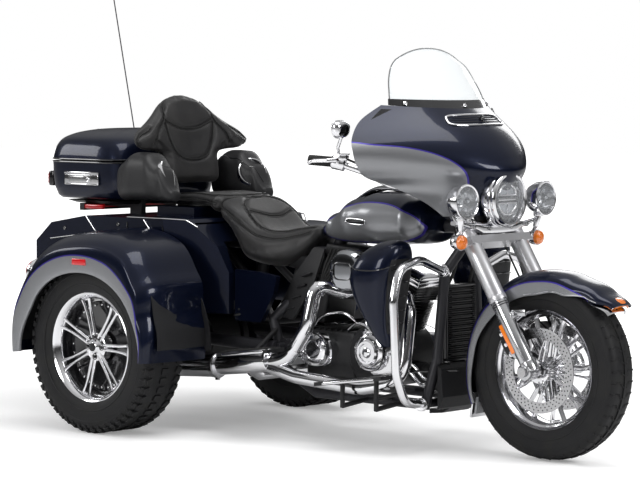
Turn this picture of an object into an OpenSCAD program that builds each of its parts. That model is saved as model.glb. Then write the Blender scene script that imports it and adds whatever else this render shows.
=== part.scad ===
// Motorized touring trike: one steered front wheel, two rear wheels on a solid axle.
// Millimetres. X runs forward, Y to the rider's left, Z up. The floor is Z = 0 and the
// origin lies on it, under the middle of the overall length and width.
// Every sub-part is drawn from the rear axle's line (X = 0) and then moved by place().

/* [Running gear] */
// Distance between the front and rear axles
wheelbase = 1670; // [1550:10:1800]
// Distance between the two rear tyres' middle planes
track = 1110; // [1060:10:1200]
// Radius of the front tyre
front_tyre_r = 320; // [300:1:330]
// Width of the front tyre
front_tyre_w = 130; // [110:1:140]
// Radius of the front rim at its flange
front_rim_r = 218; // [200:1:225]
// Radius of a rear tyre
rear_tyre_r = 324; // [300:1:332]
// Width of a rear tyre
rear_tyre_w = 205; // [165:1:215]
// Radius of a rear rim at its flange
rear_rim_r = 206; // [190:1:212]
// Radius of the front brake discs
disc_r = 150; // [130:1:160]

/* [Steering] */
// Steering head angle from the vertical, degrees
rake = 26; // [24:0.5:28]
// Distance on the floor from the steering axis to the front contact point
trail = 100; // [85:1:115]
// Fork tube angle from the vertical, degrees
fork_angle = 32; // [30:0.5:33]
// Sideways distance of each fork tube from the middle
fork_y = 133; // [128:1:142]
// Radius of the steering stem
stem_r = 18; // [14:0.5:20]
// Radius of a fork slider
slider_r = 29; // [26:0.5:31]

/* [Fittings] */
// Running clearance of a shaft in its bore, on the radius
fit_gap = 0.05; // [0.02:0.01:0.1]
// Radius of the front axle
front_axle_r = 12.5; // [10:0.5:14]
// Radius of each rear stub axle
stub_r = 17; // [14:0.5:20]
// Radius of the rear axle's tube
axle_tube_r = 38; // [34:1:42]
// Radius of the rear brake discs
rear_disc_r = 118; // [100:2:130]
// Radius of the fork's upper tubes
upper_r = 24.5; // [22:0.5:25]
// Sideways pitch of the licence plate's bolts
plate_pitch_y = 146; // [120:2:160]
// Upright pitch of the licence plate's bolts
plate_pitch_z = 70; // [50:2:80]
// Radius of the licence plate's bolt holes
plate_hole_r = 3.5; // [3:0.25:4]
// Radius of the luggage lid's and the boot door's hinge pins
pin_r = 4; // [3:0.5:5]
// Radius of the filler door's hinge pin
fuel_pin_r = 2; // [1.5:0.25:2.5]
// Radius of the engine guard's tube
guard_r = 16; // [12:0.5:19]
// Gap between panels that meet but do not touch
panel_gap = 4; // [3:0.5:8]

/* [Body] */
// Distance from the rear axle back to the tail of the machine
rear_overhang = 680; // [640:10:760]
// Distance that the rear fenders stand out past the tyres
fender_reach = 37.5; // [25:0.5:60]
// Half width of the rear body between the fenders
body_half = 380; // [350:1:390]
// Height of the boot's top
boot_top = 797; // [780:1:802]
// Height of the boot's floor
boot_floor = 445; // [440:1:480]
// Thickness of the boot's walls and door
boot_wall = 12; // [8:1:20]
// Half width of the luggage box
case_half = 285; // [260:1:300]
// Height of the luggage box's floor
case_floor = 852; // [845:1:870]
// Height where the luggage lid meets the box
case_split = 1003; // [985:1:1015]
// Height of the luggage lid's crown
case_top = 1128; // [1100:1:1140]
// Length of the luggage box
case_length = 432; // [380:1:440]
// Wall of the luggage box and lid
case_wall = 6; // [4:0.5:10]
// Length of the whip antenna above its base
antenna_h = 780; // [500:10:900]

/* [Fairing] */
// Half width of the handlebar fairing
fairing_half = 458; // [430:1:470]
// Wall of the fairing and the fenders
skin = 5; // [4:0.5:6]
// Height of the windshield's top edge
shield_top = 1440; // [1380:5:1480]
// Radius of the headlamp's bezel
headlamp_r = 97; // [85:1:100]

/* [Engine] */
// Angle between the two cylinders, degrees
vee_angle = 45; // [40:1:52]
// Height of the crankshaft
crank_z = 322; // [315:1:335]
// Radius of the cylinder fins
fin_r = 92; // [80:1:96]
// Number of fins on each cylinder
fin_count = 9; // [6:1:10]

/* [Hidden] */
$fn = 48;

axle_y = track / 2;
half_width = axle_y + rear_tyre_w / 2 + fender_reach;
// How far ahead the front end stands of where its shapes are drawn
nose = wheelbase - 1670;
crank_x = 950;
cylinder_base = 119;
cylinder_reach = 296;
boot_rear = -rear_overhang + 94;
boot_front = -70;
case_rear = -rear_overhang + 32;
case_front = case_rear + case_length;
lid_pin = [0, case_half + 16, case_split];
door_pin = [boot_rear - 14, 0, boot_floor + 1];
fuel_pin = [1000, 0, 934];
fuel_door_length = 88;
mast_foot = [case_rear - 6, case_half - 17, 900];
mast_lean = 12.7;
mast_tip = mast_foot + antenna_h * [-sin(mast_lean), 0, cos(mast_lean)];
mast_tip_r = 4;
tail_x = min(-rear_overhang, mast_tip[0] - mast_tip_r);
mid_x = (wheelbase + front_tyre_r + tail_x) / 2;
backbone_r = 24;
rail_r = 19;
rail_y = 150;
pivot = [540, 0, 330];
pivot_r = 16;
arm_y = 197;
belt_y = 110;
pulley_x = 640;
yoke_low_z = 752;
yoke_top_z = 905;
lamp_at = [nose + 1462, 0, 907];
spot_at = [nose + 1444, 224, 904];
signal_at = [nose + 1428, 219, 762];

function head_x(z) = wheelbase + trail - z * tan(rake);
function fork_x(z) = wheelbase + 16 - (z - front_tyre_r) * tan(fork_angle);
function mix(a, b, t) = a + (b - a) * t;
// Value at x on a line through points [x, value], in rising x
function along(table, x) =
    let (last = len(table) - 1)
    x <= table[0][0] ? table[0][1] :
    x >= table[last][0] ? table[last][1] :
    let (i = max([for (k = [0:last - 1]) if (table[k][0] <= x) k]),
         t = (x - table[i][0]) / (table[i + 1][0] - table[i][0]),
         s = t * t * (3 - 2 * t))
    mix(table[i][1], table[i + 1][1], s);

// Moves a sub-part from the rear axle's frame to the part's own frame
module place() {
    translate([-mid_x, 0, 0]) children();
}

module both_sides() {
    children();
    mirror([0, 1, 0]) children();
}

module rod(a, b, r) {
    d = b - a;
    translate(a)
        rotate([0, acos(d[2] / norm(d)), atan2(d[1], d[0])])
            cylinder(h = norm(d), r = r);
}

module across(x, z, r, half) {
    translate([x, 0, z]) rotate([90, 0, 0]) cylinder(h = 2 * half, r = r, center = true);
}

// A closed solid through rings of points, each ring convex
module loft(rings) {
    n = len(rings[0]);
    m = len(rings);
    sides = [for (i = [0:m - 2]) for (j = [0:n - 1])
        each [[i * n + j, (i + 1) * n + j, (i + 1) * n + (j + 1) % n],
              [i * n + j, (i + 1) * n + (j + 1) % n, i * n + (j + 1) % n]]];
    polyhedron([for (r = rings) each r],
        concat(sides, [[for (j = [0:n - 1]) j], [for (j = [n - 1:-1:0]) (m - 1) * n + j]]));
}

function unit(v) = v / norm(v);

// What a tube's end or bend is cut square to at one of its points
function mitre(points, i) =
    i == 0 ? unit(points[1] - points[0])
    : i == len(points) - 1 ? unit(points[i] - points[i - 1])
    : unit(unit(points[i] - points[i - 1]) + unit(points[i + 1] - points[i]));

// A tube's rings, each of them the one before it slid on to the next bend
function rings_along(points, ring, i = 1) =
    i == len(points) ? [ring]
    : let (run = unit(points[i] - points[i - 1]), square = mitre(points, i))
        concat([ring], rings_along(points,
            [for (p = ring) p + run * ((points[i] - p) * square) / (run * square)], i + 1));

// A round tube through points, mitred where it bends
module tube(points, r, n = 20) {
    run = mitre(points, 0);
    u = unit(cross(run, abs(run[2]) > 0.8 ? [1, 0, 0] : [0, 0, 1]));
    v = cross(run, u);
    loft(rings_along(points, [for (i = [0:n - 1])
        let (a = 360 * (i + 0.5) / n) points[0] + r * (cos(a) * u + sin(a) * v)]));
}

// A shell between two grids of points that have the same rows and columns
module shell(outer, inner) {
    m = len(outer);
    n = len(outer[0]);
    k = m * n;
    function quad(a, b, c, d) = [[a, b, c], [a, c, d]];
    faces = [
        for (i = [0:m - 2]) for (j = [0:n - 2])
            each quad(i * n + j, i * n + j + 1, (i + 1) * n + j + 1, (i + 1) * n + j),
        for (i = [0:m - 2]) for (j = [0:n - 2])
            each quad(k + i * n + j, k + (i + 1) * n + j, k + (i + 1) * n + j + 1, k + i * n + j + 1),
        for (i = [0:m - 2])
            each quad(i * n, (i + 1) * n, k + (i + 1) * n, k + i * n),
        for (i = [0:m - 2])
            each quad(i * n + n - 1, k + i * n + n - 1, k + (i + 1) * n + n - 1, (i + 1) * n + n - 1),
        for (j = [0:n - 2])
            each quad(j, k + j, k + j + 1, j + 1),
        for (j = [0:n - 2])
            each quad((m - 1) * n + j, (m - 1) * n + j + 1, k + (m - 1) * n + j + 1, k + (m - 1) * n + j)
    ];
    polyhedron([each [for (r = outer) each r], each [for (r = inner) each r]], faces);
}

// A ring in the YZ plane at x: half width w, from z low to high, with squareness p
function oval(x, w, low, high, p = 2.6, n = 24) = [for (i = [0:n - 1])
    let (a = 360 * i / n, c = cos(a), s = sin(a))
    [x, w * sign(c) * pow(abs(c), 2 / p),
     mix(low, high, 0.5 + 0.5 * sign(s) * pow(abs(s), 2 / p))]];

// ---------------------------------------------------------------- wheels

module tyre(r, w, rim_r) {
    bead = rim_r - 8;
    rotate([90, 0, 0]) rotate_extrude($fn = 96) polygon([
        [bead, -w * 0.40], [rim_r + 6, -w * 0.46], [mix(rim_r, r, 0.5), -w / 2],
        [r - w * 0.10, -w * 0.46], [r - w * 0.03, -w * 0.36], [r, -w * 0.12],
        [r, w * 0.12], [r - w * 0.03, w * 0.36], [r - w * 0.10, w * 0.46],
        [mix(rim_r, r, 0.5), w / 2], [rim_r + 6, w * 0.46], [bead, w * 0.40]
    ]);
}

// Rim barrel whose bead seats sit just inside the tyre
module rim_barrel(r, w) {
    seat = r - 8 - 0.3;
    rotate([90, 0, 0]) rotate_extrude($fn = 96) polygon([
        [seat, -w * 0.40], [seat, w * 0.40], [r - 14, w * 0.44], [r - 26, w * 0.44],
        [r - 30, w * 0.30], [r - 36, w * 0.12], [r - 36, -w * 0.12], [r - 30, -w * 0.30],
        [r - 26, -w * 0.44], [r - 14, -w * 0.44]
    ]);
}

module spokes(count, y, inner_r, outer_r, width, depth) {
    for (i = [0:count - 1]) for (side = [-1, 1])
        translate([0, y, 0]) rotate([0, 360 * (i + 0.5) / count, 0])
            translate([inner_r, -depth / 2, side * width - 4]) cube([outer_r - inner_r, depth, 8]);
}

module front_tyre() {
    color([0.06, 0.06, 0.06]) translate([wheelbase, 0, front_tyre_r])
        tyre(front_tyre_r, front_tyre_w, front_rim_r);
}

module front_wheel() {
    hub_half = 62;
    disc_y = 72;
    color([0.8, 0.8, 0.82]) translate([wheelbase, 0, front_tyre_r]) difference() {
        union() {
            rim_barrel(front_rim_r, front_tyre_w);
            across(0, 0, 34, hub_half);
            spokes(9, 0, 26, front_rim_r - 30, 12, 24);
            for (side = [-1, 1]) translate([0, side * disc_y, 0]) rotate([90, 0, 0]) {
                difference() {
                    cylinder(h = 5, r = disc_r, center = true, $fn = 96);
                    cylinder(h = 6, r = disc_r - 38, center = true);
                }
                cylinder(h = 20, r = 40, center = true);
                for (i = [0:4]) rotate([0, 0, 72 * i]) translate([30, -9, -2.5]) cube([disc_r - 60, 18, 5]);
            }
        }
        across(0, 0, front_axle_r + fit_gap, 90);
    }
}

module rear_tyre(side) {
    color([0.06, 0.06, 0.06]) translate([0, side * axle_y, rear_tyre_r])
        tyre(rear_tyre_r, rear_tyre_w, rear_rim_r);
}

module rear_wheel(side) {
    disc_at = -66;
    color([0.8, 0.8, 0.82]) translate([0, side * axle_y, rear_tyre_r]) difference() {
        union() {
            rim_barrel(rear_rim_r, rear_tyre_w);
            translate([0, side * 30, 0]) across(0, 0, 64, 14);
            translate([0, side * -13, 0]) across(0, 0, 40, 57);
            translate([0, side * disc_at, 0]) across(0, 0, rear_disc_r, 4);
            spokes(7, side * 34, 50, rear_rim_r - 28, 13, 16);
        }
        translate([0, side * -13, 0]) across(0, 0, stub_r + fit_gap, 70);
    }
}

// ---------------------------------------------------------------- rear axle and frame

module rear_axle() {
    carrier_half = 74;
    disc_at = axle_y - 66;
    color([0.12, 0.12, 0.13]) translate([0, 0, rear_tyre_r]) {
        across(0, 0, 96, carrier_half);
        across(0, 0, axle_tube_r, disc_at - 12);
        across(0, 0, stub_r, axle_y + 56);
        translate([0, belt_y, 0]) across(0, 0, 92, 14);
        // brake calipers, each with a slot that the disc turns in
        for (side = [-1, 1]) difference() {
            translate([-150, side * disc_at - 30, -42]) cube([70, 60, 84]);
            translate([0, side * disc_at, 0]) across(0, 0, rear_disc_r + 6, 10);
        }
        for (side = [-1, 1]) translate([-112, side * (disc_at - 24) - 8, -16]) cube([112, 12, 32]);
    }
}

module drive_belt() {
    rear_belt_r = 92.5;
    front_belt_r = 40;
    belt_thick = 7;
    color([0.05, 0.05, 0.05]) translate([0, belt_y + 11, 0]) rotate([90, 0, 0]) linear_extrude(22)
        difference() {
            hull() {
                translate([0, rear_tyre_r]) circle(rear_belt_r + belt_thick, $fn = 32);
                translate([pulley_x, pivot[2]]) circle(front_belt_r + belt_thick, $fn = 32);
            }
            hull() {
                translate([0, rear_tyre_r]) circle(rear_belt_r, $fn = 32);
                translate([pulley_x, pivot[2]]) circle(front_belt_r, $fn = 32);
            }
        }
}

module swingarm() {
    color([0.1, 0.1, 0.11]) {
        difference() {
            both_sides() {
                rod([pivot[0], arm_y, pivot[2]], [70, arm_y, rear_tyre_r + 20], 24);
                translate([-52, arm_y - 14, rear_tyre_r - 56]) cube([130, 28, 112]);
            }
            translate([0, 0, rear_tyre_r]) across(0, 0, axle_tube_r + fit_gap, 300);
        }
        across(pivot[0], pivot[2], pivot_r, arm_y);
        // air shocks that stand on the arms
        both_sides() rod([54, arm_y, rear_tyre_r + 50], [150, rail_y, 640], 26);
    }
}

// Cradle rails: down from the headstock, back under the engine and up behind it
module cradle(r) {
    both_sides() tube([[nose + 1366, 12, 806], [nose + 1298, 50, 722], [1256, 86, 640], [1250, 118, 330], [1222, rail_y, 170],
        [700, rail_y, 170], [pivot[0], rail_y, 250], [480, rail_y, 430], [640, 24, 640]], r);
    across(1210, 170, r - 3, rail_y);
    across(712, 170, r - 3, rail_y);
    across(486, 424, r - 3, rail_y);
}

module backbone(r) {
    tube([[nose + 1368, 0, 800], [nose + 1180, 0, 802], [700, 0, 754], [600, 0, 560], [480, 0, 430]], r);
}

module frame() {
    head_axis = [-sin(rake), 0, cos(rake)];
    head_mid = [head_x(828), 0, 828];
    color([0.08, 0.08, 0.09]) difference() {
        union() {
            rod(head_mid - 62 * head_axis, head_mid + 62 * head_axis, 34);
            backbone(backbone_r);
            cradle(rail_r);
            // lugs that carry the swingarm's pivot
            both_sides() {
                translate([0, rail_y, 0]) across(pivot[0], pivot[2], pivot_r + 16, 10);
                translate([500, rail_y - 10, pivot[2] - 20]) cube([pivot[0] - 500, 20, 40]);
            }
        }
        rod(head_mid - 90 * head_axis, head_mid + 90 * head_axis, stem_r + fit_gap);
        across(pivot[0], pivot[2], pivot_r + fit_gap, 200);
    }
}

// Rails that carry the pillion's seat and the body, coped onto the frame's tubes
module seat_frame() {
    seat_rail_r = 15;
    color([0.08, 0.08, 0.09]) difference() {
        union() {
            both_sides() tube([[672, 10, 690], [480, 92, 690], [150, 92, 700], [-50, 92, 730]], seat_rail_r);
            both_sides() tube([[480, rail_y, 430], [330, 110, 560], [150, 92, 700]], seat_rail_r);
        }
        backbone(backbone_r);
        cradle(rail_r);
    }
}

// ---------------------------------------------------------------- engine

module crankcase() {
    deck_half = cylinder_base * tan(vee_angle / 2) - 3;
    color([0.09, 0.09, 0.1]) {
        // crankcase, its two cylinder decks, the cam chest and its round cover
        translate([crank_x, -14, crank_z]) rotate([90, 0, 0]) cylinder(h = 216, r = 118, center = true);
        for (side = [-1, 1]) translate([crank_x, 0, crank_z]) rotate([0, side * vee_angle / 2, 0])
            translate([-deck_half, -70, 60]) cube([2 * deck_half, 140, cylinder_base - 60]);
        translate([crank_x - 104, -118, 204]) cube([208, 200, 90]);
        translate([crank_x + 14, -122, crank_z + 16]) rotate([90, 0, 0]) cylinder(h = 62, r = 70);
        translate([crank_x + 14, -184, crank_z + 16]) rotate([90, 0, 0]) cylinder(h = 12, r = 50);
        // gearbox behind it, with its end cover and the belt pulley
        translate([612, -116, 222]) cube([crank_x - 706, 196, 184]);
        translate([700, -116, 330]) rotate([90, 0, 0]) cylinder(h = 62, r = 62);
        translate([pulley_x, 80, pivot[2]]) rotate([-90, 0, 0]) cylinder(h = 42, r = 39.5);
        // oil filter
        translate([crank_x + 100, 0, 262]) rotate([0, 90, 0]) cylinder(h = 90, r = 38);
    }
}

// One finned cylinder with its head and rocker cover, standing along +Z from the crankshaft
module cylinder_assembly() {
    base = cylinder_base;
    top = cylinder_reach;
    pitch = (top - base - 46) / fin_count;
    translate([0, 0, base]) cylinder(h = top - base, r = 62);
    for (i = [0:fin_count - 1]) translate([0, 0, base + 14 + i * pitch]) cylinder(h = 5, r = fin_r - 14);
    translate([-66, -fin_r + 12, top - 44]) cube([132, 2 * fin_r - 24, 44]);
    translate([-58, -fin_r + 8, top]) cube([116, 2 * fin_r - 16, 30]);
    translate([0, fin_r - 8, top + 30]) rotate([90, 0, 0]) cylinder(h = 2 * fin_r - 16, r = 34);
}

module cylinders() {
    color([0.75, 0.75, 0.77]) for (side = [-1, 1])
        translate([crank_x, 0, crank_z]) rotate([0, side * vee_angle / 2, 0])
            intersection() {
                cylinder_assembly();
                // the two cylinders stop at the plane between them
                rotate([0, -side * vee_angle / 2, 0])
                    translate([side > 0 ? 1 : -401, -200, 0]) cube([400, 400, 700]);
            }
}

module primary_cover() {
    clutch_x = 690;
    clutch_z = 330;
    color([0.8, 0.8, 0.82]) {
        translate([0, 186, 0]) rotate([90, 0, 0]) linear_extrude(60) hull() {
            translate([crank_x, crank_z]) circle(106, $fn = 32);
            translate([clutch_x, clutch_z]) circle(108, $fn = 32);
        }
        translate([clutch_x, 186, clutch_z]) rotate([-90, 0, 0]) cylinder(h = 14, r = 80);
        translate([crank_x, 186, crank_z]) rotate([-90, 0, 0]) cylinder(h = 10, r = 58);
        translate([crank_x - 40, 94, crank_z - 60]) cube([80, 32, 120]);
    }
}

module air_cleaner() {
    at = [crank_x - 32, -178, 636];
    cover_r = 78;
    color([0.78, 0.78, 0.8]) {
        translate(at) rotate([90, 0, 0]) cylinder(h = 66, r = cover_r);
        translate(at - [0, 66, 0]) rotate([90, 0, 0]) cylinder(h = 16, r1 = cover_r, r2 = cover_r - 22);
        // intake body between the cylinders
        translate([crank_x - 14, at[1], 580]) cube([28, 170, 48]);
    }
}

// The right side's pipes meet in a collector in front of its muffler
pipes_meet = [500, -254, 276];
muffler_front = [290, -262, 252];
collector_run = unit(muffler_front - pipes_meet);

module exhaust_headers() {
    pipe_r = 25;
    color([0.82, 0.82, 0.84]) {
        tube([[808, -81, 545], [808, -130, 545], [744, -226, 584], [736, -246, 400],
            [650, -250, 292], pipes_meet], pipe_r);
        tube([[1092, -81, 545], [1092, -112, 545], [1146, -150, 500], [1150, -190, 250],
            [990, -240, 216], [690, -254, 236], pipes_meet], pipe_r);
        rod(pipes_meet - 34 * collector_run, pipes_meet + 22 * collector_run, 41);
    }
}

module mufflers() {
    y = -muffler_front[1];
    inlet = [muffler_front[0], y, muffler_front[2]];
    color([0.82, 0.82, 0.84]) {
        both_sides() {
            rod(inlet + [20, 0, 0], [-330, y, 214], 46);
            rod([-330, y, 214], [-452, y, 206], 32);
        }
        rod(pipes_meet + 22 * collector_run, muffler_front, 31);
        // cross pipe under the gearbox that feeds the left muffler
        tube([[420, 16 - y, 264], [400, -140, 214], [400, 140, 214], inlet], 22);
    }
}

// Chin cowl under the downtubes and the oil cooler that stands in it
module front_cowl() {
    cowl_half = 148;
    cooler_half = 62;
    color([0.07, 0.07, 0.08]) {
        difference() {
            translate([0, cowl_half, 0]) rotate([90, 0, 0]) linear_extrude(2 * cowl_half) polygon([
                [1180, 128], [1236, 134], [1286, 160], [1300, 200], [1292, 300], [1270, 316], [1180, 316]
            ]);
            // room for the frame's downtubes and cross tube
            both_sides() translate([1170, 76, 120]) cube([106, 90, 220]);
            translate([1170, -200, 146]) cube([76, 400, 48]);
        }
        // oil cooler and its foot
        translate([1236, -cooler_half, 336]) cube([20, 2 * cooler_half, 252]);
        for (i = [0:12]) translate([1256, -cooler_half + 4, 342 + i * 19]) cube([10, 2 * cooler_half - 8, 5]);
        translate([1236, -30, 310]) cube([20, 60, 26]);
    }
}

// ---------------------------------------------------------------- tank, seat, body

// Line that the console stands on, along the tank's top
console_seat = [[722, 828], [790, 862], [850, 886], [1110, 886]];
console_half = 42;
tank_width = [[640, 54], [720, 112], [840, 158], [980, 176], [1100, 168], [1170, 120], [1196, 60]];
tank_low = [[640, 744], [760, 736], [980, 742], [1120, 752], [1196, 790]];
tank_high = [[640, 790], [720, 838], [840, 898], [930, 918], [1040, 918], [1130, 902], [1196, 850]];

module fuel_tank() {
    tunnel_r = backbone_r + 6;
    stations = [640, 680, 720, 780, 840, 910, 980, 1050, 1110, 1150, 1180, 1196];
    color([0.03, 0.04, 0.09]) difference() {
        loft([for (x = stations) oval(x, along(tank_width, x), along(tank_low, x), along(tank_high, x))]);
        // tunnel for the frame's backbone
        translate([0, tunnel_r, 0]) rotate([90, 0, 0]) linear_extrude(2 * tunnel_r)
            polygon([[600, 690], [1240, 690], [1240, 838], [640, 779], [600, 740]]);
        // seat of the console
        translate([0, console_half + 0.3, 0]) rotate([90, 0, 0]) linear_extrude(2 * console_half + 0.6)
            polygon(concat(console_seat, [[1110, 960], [722, 960]]));
    }
}

module tank_console() {
    well = [fuel_pin[0] - fuel_door_length - 2, -32, 914];
    color([0.05, 0.05, 0.06]) {
        difference() {
            translate([0, console_half, 0]) rotate([90, 0, 0]) linear_extrude(2 * console_half)
                polygon(concat([for (p = console_seat) p + [0, 0.4]],
                    [[1108, 908], [1062, 926], [fuel_pin[0] + 8, 933], [910, 936], [846, 922], [770, 884]]));
            // well of the filler door, and the groove of its hinge
            translate(well) cube([fuel_pin[0] + 5 - well[0], 64, 40]);
        }
        translate([fuel_pin[0] - fuel_door_length / 2, 0, well[2]]) cylinder(h = 9, r = 22);
        // hinge pin across the well
        across(fuel_pin[0], fuel_pin[2], fuel_pin_r, 32);
    }
}

module fuel_door() {
    barrel_r = fuel_pin_r + 2;
    color([0.06, 0.06, 0.07]) difference() {
        union() {
            translate([fuel_pin[0] - fuel_door_length, -30, fuel_pin[2] - 5]) cube([fuel_door_length, 60, 5]);
            across(fuel_pin[0], fuel_pin[2], barrel_r, 30);
        }
        across(fuel_pin[0], fuel_pin[2], fuel_pin_r + fit_gap, 40);
    }
}

seat_width = [[-96, 168], [60, 182], [170, 178], [262, 194], [360, 194], [450, 180], [520, 148], [580, 106],
    [650, 62]];
seat_low = [[-96, 842], [120, 842], [205, 803], [240, 769], [290, 704], [340, 636], [360, 628], [470, 622], [550, 652], [610, 716],
    [650, 748]];
seat_high = [[-96, 882], [60, 892], [160, 886], [240, 884], [320, 838], [400, 776], [480, 764], [560, 782], [634, 806]];

module seat() {
    stations = [-96, -40, 20, 80, 140, 190, 240, 290, 340, 390, 440, 490, 540, 590, 632];
    color([0.05, 0.05, 0.05]) difference() {
        loft([for (x = stations) oval(x, along(seat_width, x), along(seat_low, x), along(seat_high, x), 3.4)]);
        // channel underneath that the frame's rails pass through
        translate([180, -128, 500]) cube([520, 256, 216]);
    }
}

// Half width of the backrest at height z, with wings over the speaker pods
back_width = [[905, 150], [1000, 166], [1044, 170], [1056, 296], [1090, 330], [1130, 316], [1170, 236],
    [1200, 172], [1240, 136], [1276, 98]];

module backrest() {
    thick = 58;
    n = 28;
    levels = [905, 950, 1000, 1044, 1056, 1072, 1090, 1110, 1130, 1150, 1170, 1200, 1225, 1250, 1276];
    function back_x(z) = -121 - (z - 1001) * 0.22;
    function edge(z) = z > 1225 ? thick / 2 * (1 - (z - 1225) / 130) : thick / 2;
    color([0.05, 0.05, 0.05])
        loft([for (z = levels) let (w = along(back_width, z)) [for (i = [0:n - 1])
            let (a = 360 * i / n, s = sin(a), c = cos(a), y = w * sign(c) * pow(abs(c), 0.8))
            [back_x(z) + 0.00045 * y * y - edge(z) * sign(s) * pow(abs(s), 0.7), y, z]]]);
}

pod_width = [[-212, 44], [-120, 66], [-40, 68], [30, 50], [72, 30]];
pod_low = [[-212, 858], [-40, 860], [72, 858]];
pod_high = [[-212, 1000], [-110, 1044], [-50, 1042], [10, 990], [72, 900]];

module speaker_pods() {
    stations = [case_front + panel_gap, -180, -150, -110, -76, -50, -20, 10, 40, 72];
    color([0.06, 0.06, 0.06]) both_sides() translate([0, 260, 0])
        loft([for (x = stations) oval(x, along(pod_width, x), along(pod_low, x), along(pod_high, x), 3)]);
}

module side_covers() {
    color([0.03, 0.04, 0.08]) both_sides()
        translate([0, 216, 0]) rotate([90, 0, 0]) linear_extrude(22) polygon([
            [342, 420], [474, 420], [540, 530], [556, 596], [470, 608], [342, 612]
        ]);
}

// Boot behind the axle and the shroud in front of it, under the pillion
boot_opening_low = boot_floor + 26;
boot_opening_high = 672;
boot_opening_half = 316;

module rear_body() {
    wall = boot_wall;
    inner = body_half - wall;
    color([0.03, 0.04, 0.09]) difference() {
        union() {
            translate([0, body_half, 0]) rotate([90, 0, 0]) linear_extrude(2 * body_half) polygon([
                [boot_rear, boot_floor], [boot_rear, 690], [boot_rear + 88, 764], [-300, boot_top],
                [boot_front, boot_top], [boot_front, boot_floor]
            ]);
            intersection() {
                translate([0, 0, boot_floor]) linear_extrude(400) polygon([
                    [boot_front, -body_half], [110, 14 - body_half], [330, -236],
                    [330, 236], [110, body_half - 14], [boot_front, body_half]
                ]);
                translate([0, 400, 0]) rotate([90, 0, 0]) linear_extrude(800) polygon([
                    [boot_front, boot_floor], [330, boot_floor], [330, 600], [290, 700],
                    [190, boot_top], [boot_front, boot_top]
                ]);
            }
            translate([boot_front - 20, -200, boot_top - 10]) cube([200, 400, 48]);
        }
        // boot space and its opening at the rear
        translate([0, inner, 0]) rotate([90, 0, 0]) linear_extrude(2 * inner) polygon([
            [boot_rear + wall, boot_floor + wall], [boot_rear + wall, 684], [boot_rear + 94, 764 - wall],
            [-300, boot_top - wall], [boot_front - wall, boot_top - wall], [boot_front - wall, boot_floor + wall]
        ]);
        translate([boot_rear - 1, -boot_opening_half, boot_opening_low])
            cube([wall + 2, 2 * boot_opening_half, boot_opening_high - boot_opening_low]);
        // space of the shroud, open below and in front
        translate([0, 0, boot_floor - 1]) linear_extrude(boot_top - boot_floor - wall) polygon([
            [boot_front + wall - 12, -inner], [100, 16 - inner], [210, -290],
            [210, 290], [100, inner - 16], [boot_front + wall - 12, inner]
        ]);
        translate([200, -210, boot_floor - 1]) cube([200, 420, 270]);
    }
}

module boot_door() {
    half = boot_opening_half + 12;
    color([0.03, 0.04, 0.09]) difference() {
        union() {
            translate([boot_rear - 2 - boot_wall, -half, boot_floor + 14]) cube([boot_wall, 2 * half, 222]);
            for (side = [-1, 1]) translate([0, side * 200, 0]) {
                across(door_pin[0], door_pin[2], pin_r + 4, 40);
                translate([boot_rear - 2 - boot_wall, -40, boot_floor + 1]) cube([8, 80, 16]);
            }
        }
        across(door_pin[0], door_pin[2], pin_r + fit_gap, half);
        // bolt holes of the licence plate
        for (y = [-1, 1], z = [-1, 1]) translate([boot_rear - 40, y * plate_pitch_y / 2, 590 + z * plate_pitch_z / 2])
            rotate([0, 90, 0]) cylinder(h = 60, r = plate_hole_r);
    }
}

// Hinge pins of the boot door, each between two ears on the body
module boot_hinges() {
    color([0.3, 0.3, 0.32]) for (side = [-1, 1]) translate([0, side * 200, 0]) {
        across(door_pin[0], door_pin[2], pin_r, 52);
        for (end = [-1, 1]) translate([door_pin[0] - 6, end * 47 - 4, door_pin[2] - 6])
            cube([boot_rear - door_pin[0] + 6, 8, 12]);
    }
}

fender_crown = [[-6, 345], [20, 362], [40, 415], [60, 446], [95, 432], [125, 447], [155, 440], [186, 425]];
fender_drop = [[-6, 18], [40, 50], [90, 62], [140, 60], [186, 45]];
fender_lip = [[-6, 309], [30, 296], [90, 286], [150, 312], [186, 346]];

module rear_fender(side) {
    angles = [for (a = [186:-12:-6]) a];
    inner_y = body_half + panel_gap;
    // Points across the fender at one angle, pulled in by d for the inner face
    function section(a, d) =
        let (c = along(fender_crown, a), s = c - along(fender_drop, a), low = along(fender_lip, a))
        [[inner_y, c + 6 - d], [mix(inner_y, half_width, 0.31), c + 4 - d], [mix(inner_y, half_width, 0.6), c - d],
         [half_width - 75 - 0.3 * d, c - 8 - d], [half_width - 37 - 0.6 * d, mix(c, s, 0.4) - 0.8 * d],
         [half_width - 13 - 0.85 * d, mix(c, s, 0.75) - 0.5 * d],
         [half_width - 3 - d, s], [half_width - d, mix(s, low, 0.4)], [half_width - 4 - d, low]];
    color([0.03, 0.04, 0.09]) mirror([0, side < 0 ? 1 : 0, 0]) shell(
        [for (a = angles) [for (p = section(a, 0)) [p[1] * cos(a), p[0], rear_tyre_r + p[1] * sin(a)]]],
        [for (a = angles) [for (p = section(a, skin)) [p[1] * cos(a), p[0], rear_tyre_r + p[1] * sin(a)]]]);
}

module tail_lamps() {
    lamp_y = mix(body_half, half_width, 0.59);
    color([0.7, 0.02, 0.02]) {
        // round lamps on the fenders, clear of their crowns
        difference() {
            both_sides() translate([-432, lamp_y, 566]) rotate([0, 90, 0]) cylinder(h = 120, r = 38);
            translate([0, 0, rear_tyre_r]) across(0, 0, max([for (p = fender_crown) p[1]]) + 1, half_width);
        }
        // wrap lamps on the luggage box
        both_sides() translate([case_rear - 20, 170, 902]) cube([20, 70, 52]);
    }
}

// ---------------------------------------------------------------- luggage box

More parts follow.
